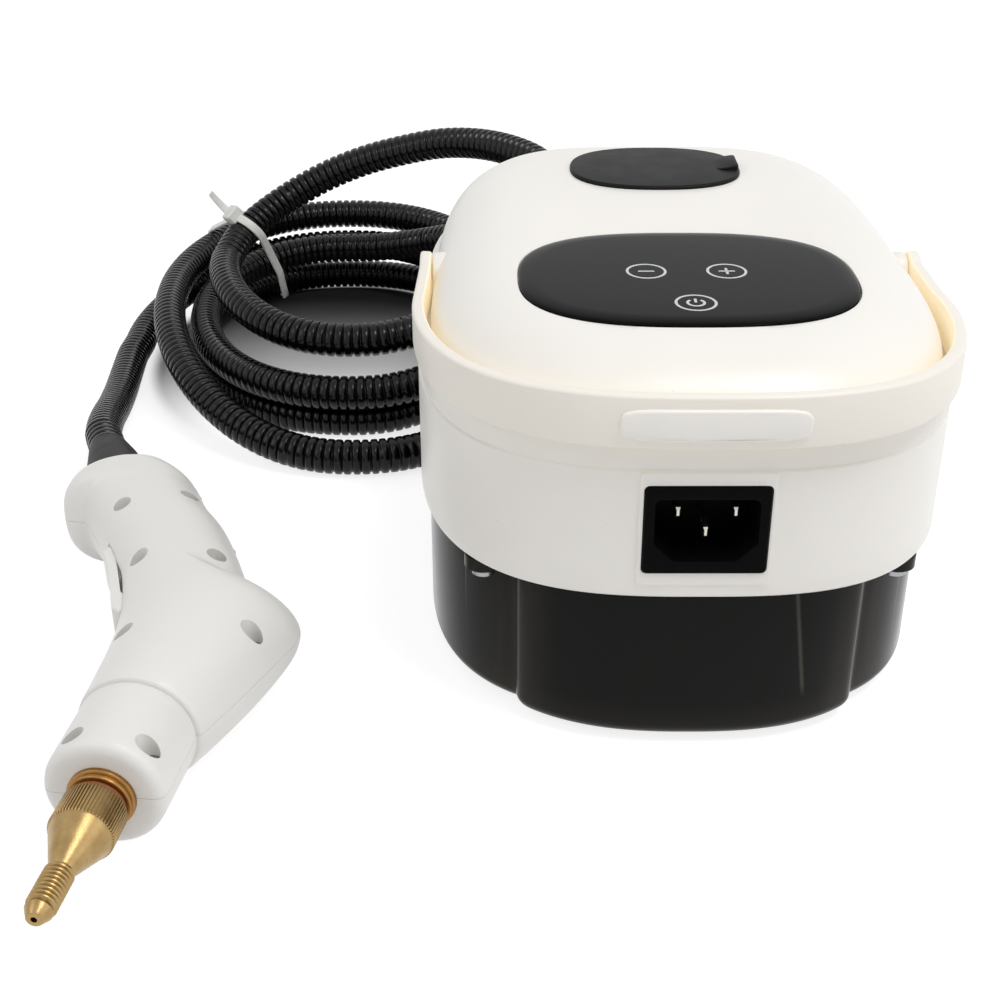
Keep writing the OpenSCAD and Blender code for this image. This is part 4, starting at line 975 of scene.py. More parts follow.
@dataclass(frozen=True)
class Hose:
    """The corrugated hose with its tie."""

    width: float = 13.0
    valley: float = 0.95
    pitch: float = 3.27
    sides: int = 20
    rib: tuple = ((0.0, 0.0), (0.14, 0.1), (0.22, 0.8), (0.36, 1.0), (0.76, 1.0), (0.9, 0.8))
    lead: tuple = (
        (-20, 108, 66), (-20, 121, 66), (-20, 135, 68.5), (-22, 150, 74.5), (-27, 165.5, 81), (-36, 181, 85.5),
        (-48, 195, 87), (-61.5, 207, 86.5), (-77, 215, 84.5), (-94, 219, 80.5), (-111, 221, 75.5),
        (-127.5, 220.5, 69), (-143, 215.5, 61.5), (-155.5, 206.5, 54.5), (-164, 193.5, 48.5), (-167, 178, 44),
    )
    tail: tuple = (
        (-208, 178, 6.6), (-208, 165, 6.6), (-206, 145, 6.6), (-203, 122, 8), (-200, 100, 11), (-197, 78, 15),
    )
    centre: tuple = (-115.0, 178.0)
    reach: tuple = (52, 72, 61, 62, 62, 86, 66, 96, 76, 114, 66, 94, 66, 80, 61, 86, 93)
    height: tuple = (44, 36, 49, 30, 22, 20, 34, 36.2, 30, 6.6, 6.6, 6.6, 8.6, 6.6, 20.4, 24.3, 6.6)
    power: float = 2.2
    lean: float = 0.09
    sharp: float = 60.0
    side: tuple = ((-1, 0), (0, -1), (1, 0), (0, 1))

    @classmethod
    def free(cls, points: Sequence) -> Array:
        """Draws a line through points.

        Args:
            points: The points.

        Returns:
            A smooth line whose first and last stretch are straight.
        """
        p = np.array(points, float)
        q = np.vstack([p[0], p, p[-1]])
        out = []
        for i in range(len(p) - 1):
            if i in (0, len(p) - 2):
                out.append(q[i + 1] + (q[i + 2] - q[i + 1]) * np.arange(12)[:, None] / 12)
            else:
                out.append(bend(q, i, 12))
        return np.vstack([*out, p[-1:]])

    @classmethod
    def coil(cls) -> Array:
        """Winds the coil out of quarter turns.

        Returns:
            Its line.
        """
        out = []
        f = np.linspace(0, math.pi / 2, 25)[:-1]
        for k in range(len(cls.reach) - 1):
            a, b = np.array(cls.side[k % 4]), np.array(cls.side[(k + 1) % 4])
            w = (1 - np.cos(2 * f)) / 2
            u = cls.reach[k] * np.cos(f) ** (2 / cls.power)
            v = cls.reach[k + 1] * np.sin(f) ** (2 / cls.power)
            xy = u[:, None] * a + v[:, None] * b
            x = cls.centre[0] + xy[:, 0] - cls.lean * xy[:, 1]
            z = cls.height[k] * (1 - w) + cls.height[k + 1] * w
            out.append(np.column_stack([x, cls.centre[1] + xy[:, 1], z]))
        return np.vstack(out)

    @classmethod
    def line(cls) -> Array:
        """Joins the stretches of the hose.

        Returns:
            The centreline from the gland to the gun.
        """
        ends = [Gun.at(Boot.along(Boot.length + 13)), Gun.at(Boot.along(Boot.length))]
        parts = [cls.free(cls.lead)[:-1], cls.coil(), cls.free([*cls.tail, *ends])]
        return np.vstack(parts)

    @classmethod
    def ribs(cls, line: Array) -> tuple[Array, float]:
        """Spaces the rings of the ribs.

        Args:
            line: The centreline.

        Returns:
            The points at which rings stand, and the length of the line.
        """
        length = float(lengths(line)[-1])
        count = round(length / cls.pitch)
        spots = np.add.outer(np.arange(count), [t for t, _ in cls.rib]).ravel() / count * length
        return along(line, np.r_[spots, length]), length

    @classmethod
    def tree(cls) -> bpy.types.NodeTree:
        """Builds the nodes that turn the line into a ribbed tube.

        Returns:
            Their tree.
        """
        n = Growth("ribs", Radius="Float", Valley="Float", Sides="Int")
        step = n.value("GeometryNodeInputIndex").math("MODULO", float(len(cls.rib)))
        share = None
        for k, (_, height) in enumerate(cls.rib):
            term = (abs(step - float(k)) < 0.5) * height
            share = term if share is None else share + term
        radius = Value(n, n.given["Radius"]) - Value(n, n.given["Valley"]) * (1.0 - share)
        inputs = {"Resolution": n.given["Sides"], "Radius": 1.0}
        ring = n.add("GeometryNodeCurvePrimitiveCircle", None, inputs)
        inputs = {"Curve": n.given["Geometry"], "Profile Curve": ring.outputs[0], "Scale": radius}
        return n.close(n.add("GeometryNodeCurveToMesh", None, dict(inputs, **{"Fill Caps": True})))

    @classmethod
    def build(cls) -> None:
        """Makes the hose and its tie."""
        line = cls.line()
        spots, length = cls.ribs(line)
        curve = bpy.data.curves.new("hose_line", "CURVE")
        curve.dimensions = "3D"
        spline = curve.splines.new("POLY")
        spline.points.add(len(spots) - 1)
        flat = np.column_stack([spots * MM, np.ones(len(spots))])
        spline.points.foreach_set("co", flat.ravel())
        source = bpy.data.objects.new("hose_line", curve)
        bpy.context.scene.collection.objects.link(source)
        values = {"Radius": cls.width / 2 * MM, "Valley": cls.valley * MM, "Sides": cls.sides}
        mesh = run_nodes(source, cls.tree(), dict(values, Material=Paint.HOSE.material()))
        clean(mesh, cls.sharp)
        hose = bpy.data.objects.new("steam_hose", mesh)
        bpy.context.scene.collection.objects.link(hose)
        show(hose, Body.MACHINE, Slot.HOSE, "hose_lead", "hose_coil", "hose_tail")
        tie = Tie.build(line)
        log.info("hose is %.1f mm long", length)
        path = (along(line, np.linspace(0, length, 500)) * MM).tolist()
        length * MM


@dataclass(frozen=True)
class Tie:
    """The cable tie round the coil."""

    place: tuple = (-162.65, 220.9, 35.8)
    yaw: float = 0.764
    tilt: float = 0.693
    reach: float = 50.0
    width: float = 3.6
    thick: float = 1.2
    edge_r: tuple = (0.15, 0.5, 0.5, 0.15)
    strand: float = 7.1
    rest: float = 0.02
    head_way: tuple = (0.3, 1.0)
    head: tuple = ((-0.6, -3.6), (4.6, 3.6))
    head_rows: tuple = ((0.6, -3.2), (0.0, -2.6), (0.0, 2.6), (0.6, 3.2))
    tail: tuple = ((1.5, -2.0, 0.0), (4.0, -2.8, 0.2), (7.5, -3.4, 0.5), (11.0, -3.6, 0.8), (14.5, -3.4, 1.2))
    tail_half: tuple = (0.5, 2.1)

    @classmethod
    def axes(cls) -> Array:
        """Works out the plane of the band.

        Returns:
            Its two directions and its normal.
        """
        flat = math.cos(cls.tilt)
        n = np.array([math.cos(cls.yaw) * flat, math.sin(cls.yaw) * flat, math.sin(cls.tilt)])
        e = np.cross((0, 0, 1), n)
        e /= np.linalg.norm(e)
        return np.array([e, np.cross(n, e), n])

    @classmethod
    def band(cls, line: Array) -> Array:
        """Stretches the band round the strands.

        Args:
            line: The centreline of the hose.

        Returns:
            Its outline in the tie's plane.
        """
        e, g, n = cls.axes()
        off = (line - cls.place) @ n
        a = np.linspace(0, math.tau, 48, endpoint=False)
        cloud = []
        for i in np.where(off[:-1] * off[1:] < 0)[0]:
            tangent = (line[i + 1] - line[i]) / np.linalg.norm(line[i + 1] - line[i])
            spot = line[i] - cls.place
            lean = abs(tangent @ n)
            if np.linalg.norm(spot) > cls.reach or lean < 0.7:
                continue
            way = np.array([tangent @ e, tangent @ g])
            way /= max(np.linalg.norm(way), 1e-6)
            side = np.array([-way[1], way[0]])
            ring = np.outer(np.cos(a), side) + np.outer(np.sin(a) / lean, way)
            cloud.append((spot @ e, spot @ g) + cls.strand * ring)
        return hull(np.vstack(cloud))

    @classmethod
    def end(cls) -> list[Array]:
        """Makes the short cut end.

        Returns:
            Its rings, which grow narrower.
        """
        half = np.array(cls.tail_half)
        flat = plate(-half, half, 0.3, 2)
        fine = Hose.free([cls.tail[0], *cls.tail, cls.tail[-1]])
        rings = []
        for i, p in enumerate(fine):
            q = fine[min(i + 1, len(fine) - 1)] - fine[max(i - 1, 0)]
            side = np.array([q[1], -q[0]]) / max(np.linalg.norm(q[:2]), 1e-6)
            share = 1 - 0.5 * i / len(fine)
            rings.append(np.array([(*(p[:2] + side * d), p[2] + v * share) for d, v in flat]))
        return rings

    @classmethod
    def build(cls, line: Array) -> bpy.types.Object:
        """Makes the tie.

        Args:
            line: The centreline of the hose.

        Returns:
            The tie.
        """
        e, g, n = cls.axes()
        inner = resample(cls.band(line), 240)
        turn = np.roll(inner, -1, axis=0) - np.roll(inner, 1, axis=0)
        out = np.stack([turn[:, 1], -turn[:, 0]], axis=-1) / np.linalg.norm(turn, axis=1)[:, None]
        out = np.mean([np.roll(out, k, axis=0) for k in range(-4, 5)], axis=0)
        w, t = cls.width / 2, cls.thick
        section = plate((0.0, -w), (t, w), cls.edge_r, 3)
        place = Matrix(np.column_stack([e, g, n])).to_4x4()
        place.translation = Vector(cls.place)
        form = Form()
        rings = [np.array([(*(p + q * d), v) for d, v in section]) for p, q in zip(inner, out)]
        form.loft(rings, place, loop=True)
        # The floor stops the band; the slight slope keeps its section open.
        height = form.points[0][:, 2]
        height[:] = np.maximum(height, cls.rest + cls.rest * (height + 4.0))
        top = int(np.argmax(inner @ cls.head_way))
        ahead = math.atan2(out[top][1], out[top][0])
        spot = place @ Matrix.Translation((*inner[top], 0)) @ Matrix.Rotation(ahead, 4, "Z")
        ring = plate(*cls.head, 0.9)
        form.loft([np.insert(shrink(ring, d), 1, z, axis=1) for d, z in cls.head_rows], spot)
        form.loft(cls.end(), spot)
        return show(form.build("tie_band", Paint.TIE), Body.MACHINE, Slot.TIE, "cable_tie")


def hull(cloud: Array) -> Array:
    """Finds the convex outline of flat points.

    Args:
        cloud: The points.

    Returns:
        The outline, counter-clockwise.
    """
    pts = sorted(map(tuple, cloud))

    def half(items: list) -> list:
        """Walks along one side.

        Args:
            items: The points in order.

        Returns:
            The outer ones without the last.
        """
        out: list = []
        for p in items:
            while len(out) > 1 and (out[-1][0] - out[-2][0]) * (p[1] - out[-2][1]) <= (
                out[-1][1] - out[-2][1]
            ) * (p[0] - out[-2][0]):
                out.pop()
            out.append(p)
        return out[:-1]

    return np.array(half(pts) + half(pts[::-1]))


def resample(loop: Array, count: int) -> Array:
    """Returns a closed line with even steps."""
    p = np.vstack([loop, loop[:1]])
    return along(p, np.linspace(0, lengths(p)[-1], count, endpoint=False))


@dataclass(frozen=True)
class Housing:
    """The white main housing with its inlet frame, ears and gland pad."""

    wall: float = 2.2
    step_in: float = 0.6
    lip: float = 8.0
    edge_r: tuple = (0.3, 1.0, 0.5, 0.25, 0.5, 0.3, 0.3, 0.3)
    sides: int = 360
    inlet: tuple = ((-16.5, 52.8), (16.5, 83.9))
    inlet_rows: tuple = ((0.0, 101.5), (0.0, 103.5), (0.12, 103.72), (0.4, 103.8))
    recess: tuple = ((-15.5, 56.4), (15.5, 80.6))
    recess_y: tuple = (130.0, 101.6, 90.0)
    ledge: float = 1.9
    gland: tuple = (-20.0, 66.0)
    pad: tuple = ((0.0, 0.0), (13.0, 0.0), (13.0, 5.0), (0.0, 5.0))
    pad_r: tuple = (0, 0, 0.8, 0)
    pad_y: float = 99.4
    hose_hole: float = 9.0
    ear_r: float = 5.8
    ear_foot: tuple = (6.6, 90.0)
    ear_rows: tuple = ((1.2, 65.4), (0.4, 65.7), (0.0, 66.4), (0.0, 69.0), (0.35, 69.7), (1.0, 70.0))

    def build(self) -> None:
        """Makes the housing."""
        z0, zs, zc = Base.house_z, Base.step_z, Base.cover_z
        wall, step, lip = self.wall, self.step_in, self.lip
        corners = [
            (wall, z0), (0.0, z0), (0.0, zs - 0.15), (step, zs + 0.15), (step, zc), (lip, zc), (lip, zc - 2),
            (wall, zc - 2),
        ]
        profile = rounded(corners, self.edge_r, True, 4)
        angles = Base.house.even(self.sides)
        form = Form()
        form.loft([lift(Base.house.at(angles, d), z) for d, z in insert_rows(profile, 6.0)], loop=True)
        item = form.build("housing_shell", Paint.HOUSING)
        carve(item, self.raised(), Join.ADD)
        carve(item, self.holes())
        show(item, Body.MACHINE, Slot.HOUSING, "main_housing")

    def raised(self) -> Form:
        """Makes what stands proud.

        Returns:
            The inlet frame, the ears and the pad of the gland.
        """
        form = Form()
        flat = plate(*self.inlet, 1.0)
        rings = [lift(shrink(flat, d) if d else flat, y) for d, y in self.inlet_rows]
        form.loft(rings, stand((0, 0, 0), 90))
        for side in (-1, 1):
            form.loft(self.ear(side))
        x, z = self.gland
        form.turn(rounded(self.pad, self.pad_r), SIDES, stand((x, self.pad_y, z), -90))
        return form

    def ear(self, side: int) -> list[Array]:
        """Makes one ear.

        Args:
            side: -1 for the left one, 1 for the right one.

        Returns:
            Its rings.
        """
        a = np.linspace(0, math.pi, 25)
        y, z = Handle.pivot
        reach, low = self.ear_foot
        arch = np.column_stack([y + self.ear_r * np.cos(a), z + self.ear_r * np.sin(a)])
        flat = np.vstack([[(y + reach, low)], arch, [(y - reach, low)]])
        return [np.insert(shrink(flat, d), 0, side * x, axis=1) for d, x in self.ear_rows]

    def holes(self) -> Form:
        """Makes what is cut out.

        Returns:
            The cuts for the inlet, the hose gland and the handle pins.
        """
        form = Form()
        wide = plate(*self.recess, 1.4, 8)
        tight = shrink(wide, self.ledge)
        far, step, near = self.recess_y
        rings = [lift(wide, far), lift(wide, step), lift(tight, step), lift(tight, near)]
        form.loft(rings, stand((0, 0, 0), 90))
        x, z = self.gland
        form.turn(drum(self.hose_hole, 0, 40), SIDES, stand((x, near, z), -90))
        Handle.bore(form)
        return form


def shrink(flat: Array, inset: float) -> Array:
    """Moves the points of a convex loop inwards.

    Args:
        flat: The loop.
        inset: How far its edges move.

    Returns:
        The smaller loop.
    """
    mid = (flat.min(axis=0) + flat.max(axis=0)) / 2
    half = (flat.max(axis=0) - flat.min(axis=0)) / 2
    return mid + (flat - mid) * (1 - inset / half)


def insert_rows(line: Array, pitch: float) -> Array:
    """Adds points on long straight stretches of a closed line.

    Args:
        line: The line.
        pitch: The longest step that is left.

    Returns:
        The line with more points.
    """
    out = []
    for a, b in zip(line, np.roll(line, -1, axis=0)):
        n = max(1, int(np.linalg.norm(b - a) / pitch))
        out += [a + (b - a) * k / n for k in range(n)]
    return np.array(out)


@dataclass(frozen=True)
class Cover:
    """The white top cover with the pockets of the panel and the fill cover."""

    wall: float = 2.4
    reach: float = 22.7
    flat_in: float = 3.0
    gap: float = 0.3
    pocket: tuple = ((0.0, -1.25), (0.0, -0.3), (-0.12, -0.08), (-0.4, 0.02), (-0.4, 5.0))
    fill_bore: float = 11.0
    sides: int = 360

    def dome(self, depth: float, low: float) -> Form:
        """Makes a dome.

        Args:
            depth: How far it lies under the outer one.
            low: Height of its rim.

        Returns:
            The closed dome.
        """
        angles = Base.cover.even(self.sides)
        rim = Base.cover.at(angles, depth)
        rings = [lift(rim, low), lift(rim, low + 0.3)]
        for a in np.radians(np.r_[0:60:5, 60:91:3]):
            flat = Base.cover.at(angles, depth + (self.reach - depth) * (1 - math.cos(a)))
            z = Base.shoulder_z - depth + math.sin(a) * (Base.rise + Base.slope * flat[:, 1])
            rings.append(lift(flat, z))
        inner = Base.cover.at(angles, self.reach + self.flat_in)
        rings.append(lift(inner, Base.shoulder_z - depth + Base.rise + Base.slope * inner[:, 1]))
        form = Form()
        form.loft(rings)
        return form

    def build(self) -> None:
        """Makes the cover."""
        item = self.dome(0.0, Base.cover_z).build("cover_shell", Paint.COVER)
        carve(item, self.dome(self.wall, Base.cover_z - 1.0))
        pockets = Form()
        for kind in (Panel, FillCover):
            shape = oval(kind.half_w + self.gap, kind.half_l + self.gap, kind.power)
            angles = shape.even(160)
            pockets.loft([lift(shape.at(angles, d), z) for d, z in self.pocket], Base.top(kind.spot))
        pockets.turn(drum(self.fill_bore, -20, 0), SIDES, Base.top(FillCover.spot))
        carve(item, pockets, sharp=CURVED_EDGE)
        show(item, Body.MACHINE, Slot.HOUSING, "top_cover")


@dataclass(frozen=True)
class Panel:
    """The black touch panel with its printed keys."""

    spot: float = -40.0
    half_w: float = 45.0
    half_l: float = 34.0
    power: float = 2.7
    rows: tuple = (
        (0.3, -1.2), (0.0, -0.9), (0.0, 0.0), (0.1, 0.25), (0.4, 0.45), (1.0, 0.62), (2.0, 0.79), (3.2, 0.92),
        (4.4, 0.985), (5.0, 1.0), (14.0, 1.0),
    )
    face: float = 1.0
    ring: float = 5.1
    line: float = 0.72
    print_z: tuple = (-0.02, 0.05)
    stroke: float = 2.2
    power_r: float = 2.15
    power_gap: float = math.radians(38)
    power_bar: tuple = (0.2, 2.7)

    def build(self) -> None:
        """Makes the panel and its icons."""
        shape = oval(self.half_w, self.half_l, self.power)
        angles = shape.even(240)
        place = Base.top(self.spot)
        form, icons = Form(), Form()
        form.loft([lift(shape.at(angles, d), z) for d, z in self.rows], place)
        item = form.build("touch_panel", Paint.PANEL, sharp=SHALLOW_EDGE)
        show(item, Body.MACHINE, Slot.PANEL, "control_panel")
        for key in Key:
            self.icon(icons, place @ Matrix.Translation((*key.value, self.face)), key)
        show(icons.build("panel_icons", Paint.ICON), Body.MACHINE, Slot.PANEL)

    def bar(self, form: Form, place: Matrix, low: Sequence, high: Sequence) -> None:
        """Adds a printed bar."""
        form.loft(block((*low, self.print_z[0]), (*high, self.print_z[1]), 0.1), place)

    def icon(self, form: Form, place: Matrix, key: Key) -> None:
        """Adds one key's ring and sign.

        Args:
            form: Where they are added.
            place: The middle of the key.
            key: Which key it is.
        """
        w, long = self.line / 2, self.stroke
        self.arc(form, place, self.ring, 0.0, math.tau)
        if key is not Key.POWER:
            self.bar(form, place, (-long, -w), (long, w))
        if key is Key.PLUS:
            self.bar(form, place, (-w, -long), (w, long))
        if key is Key.POWER:
            start, end = math.pi / 2 + self.power_gap, math.pi * 2.5 - self.power_gap
            self.arc(form, place, self.power_r, start, end)
            self.bar(form, place, (-w, self.power_bar[0]), (w, self.power_bar[1]))

    def arc(self, form: Form, place: Matrix, radius: float, start: float, end: float) -> None:
        """Adds a flat arc.

        Args:
            form: Where it is added.
            place: Its centre.
            radius: Its radius.
            start: Its first angle.
            end: Its last angle; a whole turn closes it.
        """
        full = end - start > math.tau - 1e-6
        half, (low, high) = self.line / 2, self.print_z
        section = ((-half, low), (half, low), (half, high), (-half, high))
        rings = [
            np.array([((radius + d) * math.cos(a), (radius + d) * math.sin(a), z) for d, z in section])
            for a in np.linspace(start, end, 72, endpoint=not full)
        ]
        form.loft(rings, place, loop=full)


@dataclass(frozen=True)
class FillCover:
    """The black rubber cover over the fill opening."""

    spot: float = 55.8
    half_w: float = 27.5
    half_l: float = 21.5
    power: float = 2.4
    rim: tuple = ((3.0, -1.18), (0.0, -1.18), (0.0, 1.2), (12.0, 1.2))
    rim_r: tuple = (0, 0.3, 0.9, 0)
    plug: tuple = ((0, -5.2), (9.8, -5.2), (9.8, -1.0), (0, -1.0))
    plug_r: tuple = (0, 0.6, 0, 0)
    tab: tuple = ((19.5, -5.2), (26.8, -4.0), (26.9, 7.4), (20.5, 8.6))
    tab_r: tuple = (2.8, 1.2, 1.2, 3.0)
    tab_rows: tuple = ((0.0, 0.0), (0.0, 0.75), (0.2, 0.93), (0.6, 1.0))
    tab_low: float = 0.9
    tab_start: float = 0.35
    tab_rise: float = 1.5
    tab_slope: float = 6.5

    def build(self) -> None:
        """Makes the cover with its plug and tab."""
        shape = oval(self.half_w, self.half_l, self.power)
        angles = shape.even(160)
        place = Base.top(self.spot)
        form = Form()
        rim = rounded(self.rim, self.rim_r, steps=6)
        form.loft([lift(shape.at(angles, d), z) for d, z in rim], place)
        form.turn(rounded(self.plug, self.plug_r), SIDES, place)
        flat = rounded(self.tab, self.tab_r, True)
        rows = []
        for d, share in self.tab_rows:
            ring = shrink(flat, d)
            far = np.clip((ring[:, 0] - self.tab[0][0]) / self.tab_slope, 0, 1)
            rows.append(lift(ring, self.tab_low + share * (self.tab_start + self.tab_rise * far)))
        form.loft(rows, place)
        show(form.build("fill_flap", Paint.FILL_COVER), Body.LID, Slot.BLACK_RUBBER, "fill_cover")


@dataclass(frozen=True)
class Handle:
    """The carry handle, a thin loop with round arm ends and a grip patch."""

    shape: Outline = Outline(74.95, 99.85, 99.85, 2.85, 2.85, Base.centre_y)
    thick: float = 3.3
    bottom: float = 91.8
    pivot: tuple = (2.0, 98.2)
    end_r: float = 6.2
    draw: float = 1.2
    draw_y: tuple = (-42.0, -4.0)
    side_h: float = 8.8
    front_h: float = 13.5
    front_reach: float = 95.4
    swell: float = 2.0
    swell_y: tuple = (-27.0, -4.0)
    blend: float = 1.5
    cap: float = 0.8
    edge: float = 0.85
    bore_r: float = 2.55
    pin: tuple = ((0, 66.0), (2.5, 66.0), (2.5, 73.7), (0, 73.7))
    pin_r: tuple = (0, 0.3, 0.4, 0)
    grip: Outline = oval(22.0, 4.0, 5.0)
    sharp: float = 50.0
    grip_rows: tuple = ((0.0, -0.6), (0.0, 0.75), (0.25, 1.0), (0.7, 1.1))

    def heights(self, y: Array) -> tuple[Array, Array]:
        """Works out the band's edges.

        Args:
            y: Places along the arms.

        Returns:
            The lower and the upper edge there.
        """
        middle, centre = self.pivot
        arch = np.sqrt(np.clip(self.end_r**2 - (y - middle) ** 2, 1e-4, None))
        share = np.clip((y - Base.centre_y) / -self.front_reach, 0, 1)
        band = self.bottom + self.side_h + (self.front_h - self.side_h) * share
        band += self.swell * smooth(y, *self.swell_y)
        disc = centre + arch
        soft = np.clip(self.blend - np.abs(band - disc), 0, None) ** 2 / (4 * self.blend)
        top = np.where(np.abs(y - middle) < self.end_r, np.maximum(band, disc) + soft, band)
        rear = y > middle
        return np.where(rear, centre - arch, self.bottom), np.where(rear, disc, top)

    def section(self, low: float, high: float, trim: float) -> Array:
        """Makes one section of the band.

        Args:
            low: Its lower edge.
            high: Its upper edge.
            trim: How much thinner it is on both sides.

        Returns:
            The rounded section.
        """
        near, far = trim, self.thick - trim
        edge = max(min(self.edge, (high - low) * 0.45, (far - near) * 0.45), 1e-3)
        return rounded([(near, low), (near, high), (far, high), (far, low)], edge, True, 4)

    def build(self) -> None:
        """Makes the handle."""
        dense = np.linspace(-math.pi * 1.5, math.pi * 0.5, 200001)
        ys = self.shape.at(dense)[:, 1]
        inside = dense[ys < self.pivot[0] + self.end_r - 0.004]
        low, high = inside[0], inside[-1]
        t = self.shape.even(260, low, high)
        # Rows ever closer together make the arms' ends round.
        ends = np.geomspace(1e-5, 1, 14)[:-1]
        t = np.sort(np.r_[low + (t[1] - low) * ends, t, high - (t[1] - low) * ends])
        outer, mid = self.shape.at(t), self.shape.at(t, self.thick)
        draw = self.draw * smooth(outer[:, 1], *self.draw_y)
        bottom, top = self.heights(outer[:, 1])
        gap = np.clip(self.pivot[0] + self.end_r - outer[:, 1], 0, self.cap)
        trim = self.cap - np.sqrt(np.clip(self.cap**2 - (self.cap - gap) ** 2, 0, None))
        rings = []
        for i in range(len(t)):
            flat = self.section(bottom[i], top[i], trim[i]) + (draw[i], 0)
            way = (mid[i] - outer[i]) / self.thick
            rings.append(np.array([(*(outer[i] + way * d), z) for d, z in flat]))
        form = Form()
        form.loft(rings)
        item = form.build("carry_loop", Paint.HANDLE, Paint.COVER, sharp=self.sharp)
        raised = Form()
        raised.loft(self.patch(), paint=1)
        carve(item, raised, Join.ADD, sharp=SHALLOW_EDGE)
        hole = Form()
        self.bore(hole)
        carve(item, hole, sharp=self.sharp)
        self.dress_inside(item.data)
        show(item, Body.HANDLE, Slot.HOUSING, "carry_handle")
        pins = Form()
        for side in (-1, 1):
            pins.turn(rounded(self.pin, self.pin_r), SMALL_SIDES, stand((0, *self.pivot), 90 * side, "Y"))
        show(pins.build("loop_pins", Paint.HANDLE), Body.HANDLE, Slot.HOUSING, "handle_pins")

    @classmethod
    def bore(cls, form: Form) -> None:
        """Adds the hole through both pivots."""
        form.turn(drum(cls.bore_r, 0, 180), SMALL_SIDES, stand((-90, *cls.pivot), 90, "Y"))

    def dress_inside(self, mesh: bpy.types.Mesh) -> None:
        """Gives the faces that look inwards the yellowish finish, which paints a glow of warm light passing
        through the thin plastic.
        """
        mesh.materials.append(Paint.CREAM.material())
        for face in mesh.polygons:
            out = face.center.x * face.normal.x + (face.center.y - Base.centre_y * MM) * face.normal.y
            if out < -0.03:
                face.material_index = 2

    def patch(self) -> list[Array]:
        """Makes the raised grip patch.

        Returns:
            Its rings.
        """
        t = np.linspace(-math.pi / 2 - 0.6, -math.pi / 2 + 0.6, 4001)
        line = self.shape.at(t)
        angles = self.grip.even(96)
        rings = []
        for grow, out in self.grip_rows:
            flat = self.grip.at(angles, grow)
            a = np.interp(flat[:, 0], line[:, 0], t)
            rings.append(lift(self.shape.at(a, -out), self.pivot[1] + flat[:, 1]))
        return rings


@dataclass(frozen=True)
class Tank:
    """The smoky water tank with its bulged front block."""

    body: Outline = Outline(71.3, 82.0, 108.0, 3.0, 3.0, Base.centre_y)
    block: Outline = Outline(71.3, 90.7, 108.0, 2.55, 3.0, Base.centre_y)
    block_w: float = 46.0
    low: float = 2.0
    high: float = 49.0
    wall: float = 3.5
    floor_in: float = 14.0
    edge_r: tuple = (0, 5.0, 0.4, 0.4, 2.0, 0)
    edge_power: float = 60.0
    seam_power: float = 160.0
    feet: tuple = ((44, -60), (46, 66))
    foot_r: float = 7.0
    screws: tuple = ((54.5, -79.5, 14), (58, 84, -14))
    lug_r: float = 5.0
    lug_rows: tuple = ((0.3, 45.0), (0.0, 45.3), (0.0, 48.8))
    sides: int = 480

    def ring(self, angle: Array, inset: float) -> Array:
        """Works out the outline.

        Args:
            angle: Angles about the centre.
            inset: How far the points move inwards.

        Returns:
            One point per angle, with soft upright edges.
        """
        ray = np.stack([np.cos(angle), np.sin(angle)], axis=-1)

        def reach(shape: Outline) -> Array:
            """Measures an outline.

            Args:
                shape: An outline.

            Returns:
                Its distance from the centre along each ray.
            """
            t = np.linspace(0, math.tau, 4001)
            p = shape.at(t, inset) - (0, shape.centre_y)
            a = np.unwrap(np.arctan2(p[:, 1], p[:, 0]))
            return np.interp(np.mod(angle, math.tau), a, np.linalg.norm(p, axis=1))

        side = (self.block_w - inset) / np.maximum(np.abs(ray[:, 0]), 1e-3)
        front = reach(self.block)
        limit = (front**-self.edge_power + side**-self.edge_power) ** (-1 / self.edge_power)
        body = reach(self.body)
        # The front block stands out of the body, with a soft seam between them.
        bulge = np.where(ray[:, 1] < 0, limit, 0)
        soft = ((np.maximum(bulge, 1.0) / body) ** self.seam_power + 1) ** (1 / self.seam_power) * body
        far = np.where(bulge > body - 6, soft, body)
        far = np.minimum(far, np.maximum(body, np.minimum(front, side)))
        return ray * far[:, None] + (0, Base.centre_y)

    def build(self) -> None:
        """Makes the tank as a thick-walled tub."""
        even = resample(self.ring(np.linspace(0, math.tau, 6000, endpoint=False), 0), self.sides)
        angle = np.arctan2(even[:, 1] - Base.centre_y, even[:, 0])
        low, high, wall, end = self.low, self.high, self.wall, self.floor_in
        corners = [(end, low), (0, low), (0, high), (wall, high), (wall, low + wall), (end, low + wall)]
        profile = rounded(corners, self.edge_r, steps=8)
        form = Form()
        form.loft([lift(self.ring(angle, d), z) for d, z in profile])
        item = form.build("water_tub", Paint.TANK, sharp=CURVED_EDGE)
        feet = Form()
        for x, y in self.feet:
            for side in (-1, 1):
                feet.turn(drum(self.foot_r, 0, 3.0), SIDES, stand((side * x, y, 0)))
        carve(item, feet, sharp=CURVED_EDGE)
        carve(item, self.lugs(), Join.ADD, sharp=CURVED_EDGE)
        show(item, Body.MACHINE, Slot.TANK, "water_tank")

    def lugs(self) -> Form:
        """Makes the lugs.

        Returns:
            The screw lugs beside the block and at the rear.
        """
        form = Form()
        for x, y, way in self.screws:
            for side in (-1, 1):
                a = np.linspace(0, math.pi, 17) + (math.pi if way > 0 else 0)
                arch = np.column_stack([side * x + self.lug_r * np.cos(a), y + self.lug_r * np.sin(a)])
                flat = np.vstack([arch, [(arch[-1, 0], y + way), (arch[0, 0], y + way)]])
                form.loft([lift(shrink(flat, d) if d else flat, z) for d, z in self.lug_rows])
        return form


